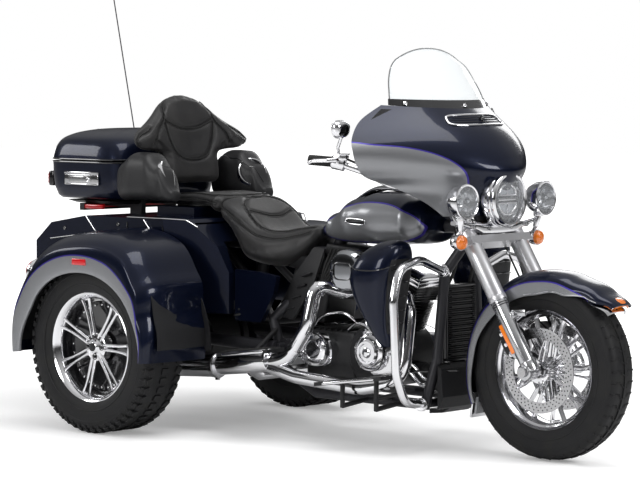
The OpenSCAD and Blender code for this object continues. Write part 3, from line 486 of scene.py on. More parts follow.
FIN_BLACK = Coated("fin_black", "engine_black", (0.010, 0.010, 0.011), 0.32, 0.12, 700.0, 0.4)
FRAME_BLACK = Coated("frame_black", "trim_black", (0.008, 0.008, 0.009), 0.26, 0.08, 600.0, 0.6)
PLASTIC = Coated("moulded_black", "trim_black", (0.008, 0.008, 0.009), 0.45, 0.3, 1800.0)
RUBBER = Coated("grip_rubber", "trim_black", (0.012, 0.012, 0.012), 0.65, 0.35, 1100.0)
TYRE = Tread("tyre_rubber", "tyre")
PODS = Coated("pod_vinyl", "trim_black", (0.014, 0.014, 0.015), 0.42, 0.4, 700.0)
PLATE_WHITE = Coated("blank_plate", "trim_black", (0.62, 0.63, 0.62), 0.4, 0.05, 300.0)
LEATHER = Leather("seat_leather", "leather")
PIPING = Coated("seam_piping", "leather", (0.008, 0.008, 0.008), 0.45, 0.4, 2400.0)
RED = Lens("red_lens", "lamp_red", (0.55, 0.008, 0.012), glow=0.10)
AMBER = Lens("amber_lens", "lamp_red", (0.85, 0.20, 0.01), glow=0.12)
CLEAR = Lens("clear_lens", "clear_screen", (0.85, 0.87, 0.9), alpha=0.16, flutes=60.0)
LIT = Lens("lamp_element", "chrome", (0.50, 0.53, 0.57), glow=0.05, flutes=300.0)
REFLECTOR = Lens("grey_reflector", "trim_black", (0.42, 0.43, 0.45), flutes=420.0)
WHITE_PAINT = Coated("white_marks", "trim_black", (0.7, 0.7, 0.68), 0.5)
DIAL = Coated("dial_face", "trim_black", (0.05, 0.05, 0.055), 0.4, 0.1, 500.0)
DRILLED = Coated("drilled_dark", "trim_black", (0.02, 0.02, 0.02), 0.6)
SCREEN = Screen("clear_screen", "clear_screen")
SCREEN_EDGE = Screen("screen_edge", "clear_screen", (0.03, 0.032, 0.035), 0.6)
DARK_CHROME = Metal("shaded_chrome", "chrome", (0.40, 0.41, 0.43), 0.09)


# ---------------------------------------------------------------- mesh making


class Form:
    """A mesh in the making."""

    def __init__(self) -> None:
        """Starts an empty mesh with a UV map and a panel value."""
        self.bm = bmesh.new()
        self.bm.loops.layers.uv.new("UVMap")
        self.panel = self.bm.verts.layers.float.new("panel")

    def round_off(self, verts: Iterable[bmesh.types.BMVert], width: float, segments: int) -> None:
        """Bevels every edge between some vertices."""
        edges = list({edge for vert in verts for edge in vert.link_edges})
        bmesh.ops.bevel(self.bm, geom=edges, offset=width, offset_type="OFFSET", segments=segments,
            profile=0.5, affect="EDGES", clamp_overlap=True, material=-1)

    def block(self, centre: Point, size: Point, turn: Point = (0, 0, 0), bevel: float = 0.0,
        segments: int = 2) -> "Form":
        """Adds a box.

        Args:
            centre: Its middle.
            size: Its three sides.
            turn: Its turn about X, Y and Z, in degrees.
            bevel: How far its edges are rounded off.
            segments: Facets in each rounded edge.

        Returns:
            The form itself.
        """
        turned = Euler([math.radians(value) for value in turn]).to_matrix().to_4x4()
        matrix = Matrix.Translation(centre) @ turned @ Matrix.Diagonal((*size, 1))
        verts = bmesh.ops.create_cube(self.bm, size=1, matrix=matrix, calc_uvs=True)["verts"]
        if bevel:
            self.round_off(verts, bevel, segments)
        return self

    def rod(self, start: Point, end: Point, radius: float, end_radius: Optional[float] = None,
        segments: int = 28, bevel: float = 0.0) -> "Form":
        """Adds a capped cylinder or cone from start to end."""
        length = (Vector(end) - Vector(start)).length
        made = bmesh.ops.create_cone(self.bm, cap_ends=True, cap_tris=False, segments=segments,
            radius1=radius, radius2=radius if end_radius is None else end_radius, depth=length,
            matrix=aimed(start, end) @ Matrix.Translation((0, 0, length / 2)), calc_uvs=True)["verts"]
        if bevel:
            caps = {face for vert in made for face in vert.link_faces if len(face.verts) > 4}
            edges = list({edge for face in caps for edge in face.edges})
            bmesh.ops.bevel(self.bm, geom=edges, offset=bevel, offset_type="OFFSET", segments=3,
                profile=0.5, affect="EDGES", clamp_overlap=True, material=-1)
        return self

    def ball(self, centre: Point, size: Point, segments: int = 24) -> "Form":
        """Adds an ellipsoid with these half sizes."""
        bmesh.ops.create_uvsphere(self.bm, u_segments=segments, v_segments=segments // 2, radius=1,
            matrix=Matrix.Translation(centre) @ Matrix.Diagonal((*size, 1)), calc_uvs=True)
        return self

    def plate(self, outline: Sequence[Point], run: Point, bevel: float = 0.0) -> "Form":
        """Adds a flat outline pushed along a run, with its edges rounded off."""
        verts = [self.bm.verts.new(point) for point in outline]
        made = bmesh.ops.extrude_face_region(self.bm, geom=[self.bm.faces.new(verts)])["geom"]
        moved = [part for part in made if isinstance(part, bmesh.types.BMVert)]
        bmesh.ops.translate(self.bm, verts=moved, vec=Vector(run))
        if bevel:
            self.round_off(verts + moved, bevel, 2)
        return self

    def lathe(self, centre: Point, axis: Point, profile: Sequence[tuple[float, float]], steps: int = 64,
        loop: bool = False) -> "Form":
        """Turns a profile right round an axis.

        Args:
            centre: A point on the axis.
            axis: Its direction.
            profile: Distance along the axis and radius, point by point.
            steps: Facets round the axis.
            loop: Whether the profile's last point joins its first.

        Returns:
            The form itself.
        """
        turn = aimed((0, 0, 0), axis)
        verts = [self.bm.verts.new(Vector(centre) + turn @ Vector((radius, 0, reach))) for reach,
            radius in profile]
        ends = zip(verts, verts[1:] + verts[:1] if loop else verts[1:])
        edges = [self.bm.edges.new(pair) for pair in ends]
        bmesh.ops.spin(self.bm, geom=verts + edges, cent=centre, axis=Vector(axis).normalized(),
            dvec=(0, 0, 0), angle=math.tau, steps=steps, use_merge=True, use_normal_flip=False,
            use_duplicate=False)
        return self

    def tube(self, path: Sequence[Point], radius: float | Callable[[float], float], segments: int = 14,
        flat: float = 1.0) -> "Form":
        """Sweeps a round or flattened section along a path.

        Args:
            path: The points that its middle follows.
            radius: One radius, or the radius at each share of the path.
            segments: Facets round it.
            flat: Its second half width as a share of the first.

        Returns:
            The form itself.
        """
        points = [Vector(point) for point in path]
        size = radius if callable(radius) else (lambda share: radius)
        runs = [(b - a).normalized() for a, b in zip(points, points[1:])]
        runs.append(runs[-1])
        turn = runs[0].to_track_quat("Z", "Y")
        was = None
        for i, point in enumerate(points):
            facing = (runs[max(i - 1, 0)] + runs[i]).normalized()
            turn = (turn @ Vector((0, 0, 1))).rotation_difference(facing) @ turn
            r = size(i / (len(points) - 1))
            now = Matrix.Translation(point) @ turn.to_matrix().to_4x4() @ Matrix.Diagonal((r, r * flat, 1,
                1))
            if was is None:
                first = bmesh.ops.create_circle(self.bm, radius=1, segments=segments, matrix=now)["verts"]
                ring = list({edge for vert in first for edge in vert.link_edges})
                start = ring
            else:
                made = bmesh.ops.extrude_edge_only(self.bm, edges=ring)["geom"]
                verts = [part for part in made if isinstance(part, bmesh.types.BMVert)]
                ring = [part for part in made if isinstance(part, bmesh.types.BMEdge)]
                ring = [edge for edge in ring if all(vert in verts for vert in edge.verts)]
                bmesh.ops.transform(self.bm, matrix=now @ was.inverted(), verts=verts)
            was = now
        bmesh.ops.holes_fill(self.bm, edges=start + ring, sides=0)
        return self

    def surface(self, rows: int, columns: int, shape: Callable[[float, float], Point],
        panel: Optional[Callable[[float, float, Vector], float]] = None, cap: bool = False) -> "Form":
        """Adds a grid whose points a shape function puts in place.

        Args:
            rows: Steps in the second share.
            columns: Steps in the first share.
            shape: Gives the point at two shares from 0 to 1.
            panel: Gives the distance inside the painted panel, in millimetres.
            cap: Whether the rims that stay open are filled.

        Returns:
            The form itself.
        """
        verts = bmesh.ops.create_grid(self.bm, x_segments=columns, y_segments=rows, size=0.5,
            matrix=Matrix.Translation((0.5, 0.5, 0)), calc_uvs=True)["verts"]
        for vert in verts:
            u, v = vert.co.x, vert.co.y
            vert.co = shape(u, v)
            if panel:
                vert[self.panel] = panel(u, v, vert.co)
        bmesh.ops.remove_doubles(self.bm, verts=verts, dist=0.02)
        if cap:
            rims = [edge for vert in verts if vert.is_valid for edge in vert.link_edges if edge.is_boundary]
            bmesh.ops.holes_fill(self.bm, edges=list(set(rims)), sides=0)
        return self

    def repeat(self, count: int, centre: Point, axis: Point) -> "Form":
        """Copies the whole form round an axis until there are count of it."""
        bmesh.ops.spin(self.bm, geom=self.bm.verts[:] + self.bm.edges[:] + self.bm.faces[:], cent=centre,
            axis=Vector(axis).normalized(), dvec=(0, 0, 0), angle=math.tau * (count - 1) / count,
            steps=count - 1, use_merge=False, use_normal_flip=False, use_duplicate=True)
        return self

    def both_sides(self) -> "Form":
        """Adds the form's mirror image across the middle plane."""
        bmesh.ops.mirror(self.bm, geom=self.bm.verts[:] + self.bm.edges[:] + self.bm.faces[:],
            matrix=Matrix.Identity(4), merge_dist=0.02, axis="Y")
        return self

    def wall(self, thickness: float) -> "Form":
        """Thickens an open skin inwards."""
        bmesh.ops.recalc_face_normals(self.bm, faces=self.bm.faces[:])
        bmesh.ops.solidify(self.bm, geom=self.bm.faces[:], thickness=thickness)
        return self

    def mesh(self, name: str, closed: bool = True) -> bpy.types.Mesh:
        """Returns the finished mesh, in metres in the row's frame."""
        bmesh.ops.remove_doubles(self.bm, verts=self.bm.verts[:], dist=MERGE)
        if closed:
            bmesh.ops.recalc_face_normals(self.bm, faces=self.bm.faces[:])
        self.bm.transform(TO_ROW)
        mesh = bpy.data.meshes.new(name)
        self.bm.to_mesh(mesh)
        self.bm.free()
        return mesh

    def piece(self, name: str, finish: Finish, body: Body = Body.ROOT, stands_for: Sequence[str] = (),
        sharp: float = 38.0, edge: float = 0.0, closed: bool = True, slot: str = "") -> bpy.types.Object:
        """Makes the form a piece of the trike.

        Args:
            name: The piece's name.
            finish: Its finish.
            body: The CAD body that it rides on.
            stands_for: CAD nodes that it replaces.
            sharp: Edges turned more than this many degrees stay crisp.
            edge: Width of a small bevel on crisp edges.
            closed: Whether its faces are turned outwards first.
            slot: A material slot, where it isn't the finish's usual one; not used.

        Returns:
            The object.
        """
        mesh = self.mesh(name, closed)
        mesh.shade_smooth()
        mesh.set_sharp_from_angle(angle=math.radians(sharp))
        return settle(bpy.data.objects.new(name, mesh), body, finish, slot, stands_for, edge)


def settle(item: bpy.types.Object, body: Body, finish: Finish, slot: str = "",
    stands_for: Sequence[str] = (), edge: float = 0.0, smooth: int = 0) -> bpy.types.Object:
    """Links an object, dresses it and puts it on its body; see Form.piece for the rest.

    Returns:
        The object.
    """
    bpy.context.scene.collection.objects.link(item)
    item.data.materials.clear()
    item.data.materials.append(finish.material())
    if edge:
        soften = item.modifiers.new("edges", "BEVEL")
        soften.width, soften.segments, soften.limit_method = edge * MM, 2, "ANGLE"
        soften.angle_limit = BEVEL_ANGLE
        soften.harden_normals = False
    if smooth:
        rounded = item.modifiers.new("smooth", "SUBSURF")
        rounded.levels = rounded.render_levels = smooth
    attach(item, body.value)
    slot or finish.slot
    if stands_for:
        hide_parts(*stands_for)
    LOG.info("%s on %s, %d faces", item.name, body.value, len(item.data.polygons))
    return item


def repaint(finish: Finish, *nodes: str) -> None:
    """Gives carried-over CAD nodes a finish."""
    for node in nodes:
        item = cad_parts[node]
        if not item.material_slots:
            item.data.materials.append(finish.material())
        for place in item.material_slots:
            place.material = finish.material()


# ---------------------------------------------------------------- studio


@dataclass
class Studio:
    """Floor, soft lights and the camera."""

    eye: Point = (7336.7, -7499.1, 1341.1)
    heading: float = 132.03
    dip: float = 3.5
    roll: float = 0.22
    lens: float = 151.3
    softboxes: Sequence[tuple[Point, Point, float, float]] = (((1500, -300, 4300), (600, 0, 300), 2.3,
        85.0), ((5600, 400, 2600), (1300, 0, 600), 1.5, 90.0), ((700, -5200, 2300), (300, 0, 600), 1.8,
        95.0), ((-3600, -2600, 2400), (-300, 0, 600), 1.4, 45.0), ((-1200, 4600, 2800), (300, 0, 500),
        2.2, 50.0))

    def camera(self) -> None:
        """Puts the camera in front of the right-hand front corner."""
        yaw, pitch = math.radians(self.heading), math.radians(self.dip)
        view = Vector((math.cos(yaw) * math.cos(pitch), math.sin(yaw) * math.cos(pitch),
            -math.sin(pitch)))
        turn = view.to_track_quat("-Z", "Y").to_matrix().to_4x4()
        data = bpy.data.cameras.new("camera")
        data.lens, data.sensor_width, data.clip_end = self.lens, 36.0, 60.0
        item = bpy.data.objects.new("camera", data)
        spin = Matrix.Rotation(math.radians(self.roll), 4, "Z")
        item.matrix_world = Matrix.Translation(TO_ROW @ Vector(self.eye)) @ turn @ spin
        bpy.context.scene.collection.objects.link(item)
        bpy.context.scene.camera = item

    def lights(self) -> None:
        """Hangs the softboxes round the machine."""
        for i, (at, target, size, power) in enumerate(self.softboxes):
            data = bpy.data.lights.new(f"softbox_{i}", "AREA")
            data.energy, data.size, data.shape = power, size, "SQUARE"
            item = bpy.data.objects.new(f"softbox_{i}", data)
            place, aim = TO_ROW @ Vector(at), TO_ROW @ Vector(target)
            turn = (aim - place).to_track_quat("-Z", "Y").to_matrix().to_4x4()
            item.matrix_world = Matrix.Translation(place) @ turn
            bpy.context.scene.collection.objects.link(item)

    def surroundings(self) -> None:
        """Whitens what the camera sees behind, and grades what the metal reflects."""
        world = bpy.data.worlds.new("studio")
        bpy.context.scene.world = world
        world.use_nodes = True
        tree = world.node_tree
        tree.nodes.clear()
        where = tree.nodes.new("ShaderNodeTexCoord")
        parts = tree.nodes.new("ShaderNodeSeparateXYZ")
        ramp = tree.nodes.new("ShaderNodeValToRGB")
        ray = tree.nodes.new("ShaderNodeLightPath")
        seen, soft = tree.nodes.new("ShaderNodeBackground"), tree.nodes.new("ShaderNodeBackground")
        either, out = tree.nodes.new("ShaderNodeMixShader"), tree.nodes.new("ShaderNodeOutputWorld")
        stops = ((0.0, 0.10), (0.48, 0.06), (0.53, 0.02), (0.60, 0.12), (0.76, 0.40), (1.0, 0.85))
        shades = ramp.color_ramp.elements
        while len(shades) < len(stops):
            shades.new(0.5)
        for shade, (place, value) in zip(shades, stops):
            shade.position, shade.color = place, (value, value, value, 1)
        lift = tree.nodes.new("ShaderNodeMapRange")
        lift.inputs["From Min"].default_value = -1.0
        for a, b in ((where.outputs["Generated"], parts.inputs[0]),
            (parts.outputs["Z"], lift.inputs["Value"]), (lift.outputs["Result"], ramp.inputs[0]),
            (ramp.outputs[0], soft.inputs[0]), (ray.outputs["Is Camera Ray"], either.inputs[0]),
            (soft.outputs[0], either.inputs[1]), (seen.outputs[0], either.inputs[2]),
            (either.outputs[0], out.inputs[0])):
            tree.links.new(a, b)
        soft.inputs["Strength"].default_value = 0.9
        seen.inputs["Color"].default_value = (1, 1, 1, 1)

    def floor(self) -> None:
        """Lays the pale floor."""
        form = Form()
        form.block((500, 0, -5), (60000, 60000, 10))
        mesh = form.mesh("floor")
        graph = Graph("studio_floor")
        away = graph.add("ShaderNodeVectorMath", operation="LENGTH")
        graph.feed(away.inputs[0], graph.where)
        ray = graph.add("ShaderNodeLightPath").outputs["Is Camera Ray"]
        far = graph.spread(graph.window(away.outputs["Value"], 1.8, 5.5), 0.26, 1.0)
        graph.dress(Base_Color=graph.blend(graph.noise(0.6), (0.86, 0.86, 0.865), (0.9, 0.9, 0.9)),
            Roughness=0.55, Specular_IOR_Level=0.2, Emission_Color=(1.0, 1.0, 1.0),
            Emission_Strength=graph.maths("MULTIPLY", far, ray))
        mesh.materials.append(graph.material)
        item = bpy.data.objects.new("floor", mesh)
        bpy.context.scene.collection.objects.link(item)

    def build(self) -> None:
        """Sets up the whole studio."""
        self.camera()
        self.lights()
        self.surroundings()
        self.floor()
        bpy.context.scene.view_settings.view_transform = "Standard"


# ---------------------------------------------------------------- wheels


@dataclass
class Wheel:
    """What the front and rear wheels share: a tyre, a rim and spokes on one axle."""

    name: str
    body: Body
    centre: Point
    outward: float
    radius: float
    width: float
    rim: float

    def at(self, reach: float, radius: float = 0.0, angle: float = 0.0) -> Vector:
        """Returns a point at a reach outwards, a radius and an angle in degrees."""
        turn = math.radians(angle)
        return Vector(self.centre) + Vector((radius * math.cos(turn), self.outward * reach,
            radius * math.sin(turn)))

    def ring(self, name: str, profile: Sequence[tuple[float, float]], finish: Finish, slot: str,
        stands_for: Sequence[str] = (), steps: int = 96, loop: bool = True) -> bpy.types.Object:
        """Turns one ring of the wheel."""
        form = Form().lathe(self.centre, (0, self.outward, 0), profile, steps, loop)
        return form.piece(f"{self.name}_{name}", finish, self.body, stands_for, slot=slot)

    def mirrored_profile(self, half: Sequence[tuple[float, float]]) -> list[tuple[float, float]]:
        """Returns half a profile with its mirror image, from one edge to the other."""
        return [(-reach, radius) for reach, radius in half] + [(reach, radius) for reach,
            radius in reversed(half) if reach]

    def carcass(self, base: float) -> None:
        """Makes the tyre's body up to the base of its tread."""
        w, r, rim = self.width / 2, self.radius, self.rim
        wall = r - rim
        half = [(w * 0.72, rim - 6), (w * 0.78, rim - 7), (w * 0.84, rim + 1), (w * 0.90, rim + 9),
            (w * 0.955, rim + wall * 0.22), (w * 0.985, rim + wall * 0.36), (w * 0.995, rim + wall * 0.5),
            (w * 0.975, rim + wall * 0.66), (w * 0.93, rim + wall * 0.79), (w * 0.85, base - 9),
            (w * 0.74, base - 3), (w * 0.55, base - 0.5), (w * 0.3, base), (0, base + 0.3)]
        form = Form().lathe(self.centre, (0, self.outward, 0), self.mirrored_profile(half), 128, True)
        # raised bands round the sidewalls
        for sign in (-1, 1):
            for share, height in ((0.27, 1.6), (0.62, 1.4)):
                reach, lift = sign * w * 0.985 - sign * 1.0, rim + wall * share
                form.lathe(self.centre, (0, self.outward, 0), [(reach, lift - 3),
                    (reach + sign * height, lift), (reach, lift + 3)], 96, True)
        form.piece(f"{self.name}_tyre", TYRE, self.body, (self.tyre_node(),))

    def tyre_node(self) -> str:
        """Returns the CAD node that the tyre stands for."""
        return self.name.replace("_wheel", "_tyre")


@dataclass
class RearWheel(Wheel):
    """A wide rear wheel with seven twin spokes in a deep chrome lip."""

    spokes: int = 7
    lugs: int = 54

    def tread(self) -> None:
        """Makes a blocky road tread with cut shoulders."""
        base = self.radius - 8.5
        form = Form()
        rows = ((0.0, 30, 24, 0), (0.34, 26, 26, 18), (-0.34, 26, 26, -18))
        for share, wide, long, skew in rows:
            form.block(self.at(share * self.width, base + 3.2), (8, wide, long), (skew, 0, 0), 1.2, 1)
        for sign in (-1, 1):
            middle = Vector(self.at(sign * self.width * 0.4 * self.outward, base - 1.5))
            form.block(middle, (9, 26, 23), (sign * 10, 0, sign * 26), 1.5, 1)
            form.block(Vector(self.at(sign * self.width * 0.455 * self.outward, base - 14)), (7, 18, 15),
                (0, 0, sign * 58), 1.5, 1)
        form.repeat(self.lugs, self.centre, (0, 1, 0))
        form.piece(f"{self.name}_tread", TYRE, self.body)

    def rim_rings(self) -> None:
        """Makes the chrome lip, the dark barrel and the brake disc."""
        r = self.rim
        self.ring("lip", [(84, r - 9), (88, r - 2), (86, r + 1), (81, r), (78, r - 5), (68, r - 10),
            (58, r - 17), (56, r - 25), (60, r - 24), (70, r - 19), (80, r - 13)], CHROME, "chrome",
            (self.name,), 128)
        self.ring("barrel", [(56, r - 17), (56, r - 25), (20, r - 32), (-40, r - 30), (-74, r - 20),
            (-84, r - 4), (-88, r), (-84, r + 1), (-78, r - 6), (-60, r - 14), (20, r - 22)], GLOSS_BLACK,
            "trim_black")
        self.ring("disc", [(-62, 20), (-62, 118), (-70, 118), (-70, 20)], BRUSHED, "steel", steps=64)
        # the dark face behind the spokes, with its ring of studs
        self.ring("backplate", [(8, 30), (14, 120), (22, 150), (20, 172), (14, 172), (12, 150), (4, 120),
            (0, 30)], GLOSS_BLACK, "trim_black", steps=72)
        studs = Form().rod(self.at(18, 156), self.at(27, 156), 4.5, segments=10, bevel=1)
        studs.repeat(28, self.centre, (0, 1, 0))
        studs.piece(f"{self.name}_studs", CHROME, self.body)

    def spider(self) -> None:
        """Makes the twin spokes and the hub's face."""
        form = Form()
        for sign in (-1, 1):
            path = [self.at(54, 38, sign * 13), self.at(56, 80, sign * 6.6), self.at(59, 125, sign * 4.9),
                self.at(62, 160, sign * 4.9), self.at(66, self.rim - 22, sign * 5.4)]
            form.tube(path, lambda share: 7.0 + 1.6 * abs(2 * share - 1), 10, 0.85)
        # the web that joins a pair at the rim and at the hub
        form.block(self.at(48, 44), (34, 12, 26), bevel=4)
        form.block(self.at(60, self.rim - 24), (9, 12, 42), bevel=3)
        form.repeat(self.spokes, self.centre, (0, 1, 0))
        form.piece(f"{self.name}_spokes", CHROME, self.body)
        self.ring("hub", [(20, 0), (20, 54), (46, 56), (57, 53), (61, 47), (61, 26), (66, 22), (72, 17),
            (74, 10), (75, 0)], CHROME, "chrome", steps=72, loop=False)
        lugs = Form().lathe(self.at(55, 37), (0, self.outward, 0),
            [(0, 0), (0, 12), (8, 12), (8, 9.5), (3, 9), (3, 6.5), (12, 6), (13, 4), (13, 0)], 18)
        lugs.repeat(4, self.centre, (0, 1, 0))
        lugs.piece(f"{self.name}_lugs", GLOSS_BLACK, self.body)
        cap = Form().lathe(self.at(73), (0, self.outward, 0), [(0, 16), (4, 15), (5.5, 11), (5.5, 0)], 36)
        cap.piece(f"{self.name}_cap", ENGINE_BLACK, self.body, slot="trim_black")

    def build(self) -> None:
        """Builds the wheel."""
        self.carcass(self.radius - 7)
        self.tread()
        self.rim_rings()
        self.spider()


@dataclass
class FrontWheel(Wheel):
    """The cast front wheel, with a drilled disc on each side."""

    spokes: int = 9
    disc: float = 150.0

    def tread(self) -> None:
        """Makes a rounded tread of zigzag bars."""
        form, base, w = Form(), self.radius - 6, self.width / 2
        for sign in (-1, 1):
            path = [self.at(sign * w * share, base + 1.0 - 17 * share * share, turn) for share,
                turn in ((0.10, 0.2), (0.30, 1.7), (0.36, 3.2), (0.62, 3.9), (0.66, 2.4), (0.90, 3.2))]
            form.tube(path, 5.6, 4, 0.75)
        form.repeat(48, self.centre, (0, 1, 0))
        form.lathe(self.centre, (0, 1, 0), [(-6, base - 1), (-5, base + 4.5), (5, base + 4.5),
            (6, base - 1)], 128, True)
        form.piece(f"{self.name}_tread", TYRE, self.body)

    def rim_rings(self) -> None:
        """Makes the chrome rim and its well."""
        r = self.rim
        half = [(44, r - 16), (40, r - 24), (24, r - 30), (0, r - 34)]
        outer = [(46, r - 8), (48, r), (45, r + 1.5), (41, r - 5), (30, r - 10)]
        profile = [(-a, b) for a, b in reversed(outer)][::-1] + [(-a, b) for a, b in half]
        profile += [(a, b) for a, b in reversed(half[:-1])] + outer
        self.ring("rim", profile, CHROME, "chrome", (self.name,), 128)

    def spider(self) -> None:
        """Makes the cast spokes and the hub."""
        form = Form()
        for sign in (-1, 1):
            path = [self.at(0, 34, sign * 20), self.at(0, 90, sign * 8), self.at(0, 150, sign * 6.5),
                self.at(0, self.rim - 30, sign * 8.5)]
            form.tube(path, lambda share: 15 - 4 * share, 8, 0.5)
        form.block(self.at(0, self.rim - 34), (10, 26, 48), bevel=4)
        form.repeat(self.spokes, self.centre, (0, 1, 0))
        form.lathe(self.centre, (0, 1, 0), [(-64, 14), (-64, 30), (-58, 36), (-24, 40), (24, 40),
            (58, 36), (64, 30), (64, 14)], 48, True)
        form.piece(f"{self.name}_spokes", CHROME, self.body)

    def brakes(self) -> None:
        """Makes the drilled discs on their bolted carriers."""
        band, carrier, holes, bolts = Form(), Form(), Form(), Form()
        for sign in (-1, 1):
            y = sign * 72
            band.lathe(self.centre, (0, 1, 0), [(y - 2.4, 113), (y + 2.4, 113),
                (y + 2.4, self.disc - 0.6), (y + 1.8, self.disc), (y - 1.8, self.disc),
                (y - 2.4, self.disc - 0.6)], 120, True)
        for sign in (-1, 1):
            face = sign * 72
            carrier.tube([self.at(face, 38, -14), self.at(face, 80, -5), self.at(face, 112, 0)], 9, 8,
                0.35)
            carrier.tube([self.at(face, 38, 14), self.at(face, 80, 7), self.at(face, 112, 2)], 9, 8, 0.35)
            bolts.rod(self.at(face - 5 * sign, 84, 1), self.at(face + 5 * sign, 84, 1), 7, segments=16,
                bevel=1.5)
            bolts.rod(self.at(face + 4 * sign, 84, 1), self.at(face + 7 * sign, 84, 1), 4, segments=6)
            for row, radius in enumerate((120, 130, 140)):
                for k in range(3):
                    at = row * 3.0 + k * 8.0
                    out = sign * 2.55
                    holes.rod(self.at(face - out, radius, at), self.at(face + out, radius, at), 2.7,
                        segments=8)
        carrier.repeat(5, self.centre, (0, 1, 0))
        bolts.repeat(5, self.centre, (0, 1, 0))
        holes.repeat(15, self.centre, (0, 1, 0))
        for sign in (-1, 1):
            carrier.lathe(self.centre, (0, 1, 0), [(sign * 62, 20), (sign * 76, 20), (sign * 78, 34),
                (sign * 76, 46), (sign * 62, 46)], 48, True)
        band.piece(f"{self.name}_discs", BRUSHED, self.body)
        carrier.piece(f"{self.name}_carriers", CHROME, self.body)
        bolts.piece(f"{self.name}_disc_bolts", CHROME, self.body)
        holes.piece(f"{self.name}_disc_holes", DRILLED, self.body)

    def build(self) -> None:
        """Builds the wheel."""
        self.carcass(self.radius - 6)
        self.tread()
        self.rim_rings()
        self.spider()
        self.brakes()


# ---------------------------------------------------------------- fenders


@dataclass
class RearFenders:
    """The two wide rear fenders, their markers and tail lamps."""

    axle: Point = (0.0, 324.0)
    crown: Table = ((-6, 345), (20, 362), (40, 415), (60, 446), (95, 432), (125, 447), (155, 440),
        (186, 425))
    drop: Table = ((-6, 18), (40, 50), (90, 62), (140, 60), (186, 45))
    lip: Table = ((-6, 309), (30, 296), (90, 286), (150, 312), (186, 346))
    band: Table = ((-6, 0), (12, 12), (40, 44), (70, 58), (110, 62), (150, 66), (186, 62))

    def section(self, angle: float) -> list[Point]:
        """Returns the (Y, radius) points from the body to the lip."""
        c, d = along(self.crown, angle), along(self.drop, angle)
        low = along(self.lip, angle)
        s = c - d
        return [(384, c + 5, 0), (470, c + 3.5, 0), (560, c, 0), (615, c - 7, 0),
            (655, mix(c, s, 0.42), 0), (680, mix(c, s, 0.78), 0), (690, s, 0),
            (693.5, mix(s, low, 0.4), 0), (691, low, 0), (680, low - 5, 0)]

    def shape(self, u: float, v: float) -> Point:
        """Returns the point at a share along the arch and across it."""
        angle = mix(-6, 186, u)
        at = flowing(self.section(angle), v)
        turn = math.radians(angle)
        return (self.axle[0] + at.y * math.cos(turn), at.x, self.axle[1] + at.y * math.sin(turn))

    def panel(self, u: float, v: float, at: Vector) -> float:
        """Returns how far a point lies inside the silver band round the wheel."""
        angle = mix(-6, 186, u)
        radius = math.hypot(at.x - self.axle[0], at.z - self.axle[1])
        return along(self.lip, angle) + along(self.band, angle) - radius if at.y > 640 else -50.0

    def build(self) -> None:
        """Builds both fenders with what is fitted to them."""
        skin = Form().surface(56, 96, self.shape, self.panel).wall(4.0).both_sides()
        skin.piece("rear_fenders_skin", TWO_TONE, stands_for=("rear_fender_left", "rear_fender_right"),
            sharp=50)
        liner = Form().surface(2, 48, lambda u, v: ((330 + 60 * v) * math.cos(math.radians(mix(0, 180,
            u))), 388 + 8 * v, 324 + (330 + 60 * v) * math.sin(math.radians(mix(0, 180, u)))))
        liner.surface(8, 48, lambda u, v: (mix(395, along(self.crown, mix(2, 180, u)) - 14,
            0.6) * math.cos(math.radians(mix(2, 180, u))), mix(388, 640, v),
            324 + (along(self.crown, mix(2, 180, u)) - 26) * math.sin(math.radians(mix(2, 180, u)))))
        liner.wall(3.0).both_sides().piece("rear_fenders_liner", PLASTIC)
        marker = Form().block((-4, 692, 646), (76, 9, 25), bevel=4.2, segments=4).both_sides()
        marker.piece("rear_fenders_markers", RED)
        self.lamps()

    def lamps(self) -> None:
        """Builds the round tail lamps and their chrome bezels."""
        lens, bezel = Form(), Form()
        axis = (-0.93, 0.12, 0.35)
        centre = (-338, 600, 590)
        lens.lathe(centre, axis, [(0, 0), (0, 44), (16, 43), (26, 36), (33, 22), (35, 0)], 40)
        bezel.lathe(centre, axis, [(-26, 40), (-8, 52), (4, 52), (12, 49), (13, 44), (4, 43), (-20, 34)],
            40, True)
        lens.both_sides().piece("tail_lamp_lenses", RED, stands_for=("tail_lamps",))
        bezel.both_sides().piece("tail_lamp_bezels", CHROME)


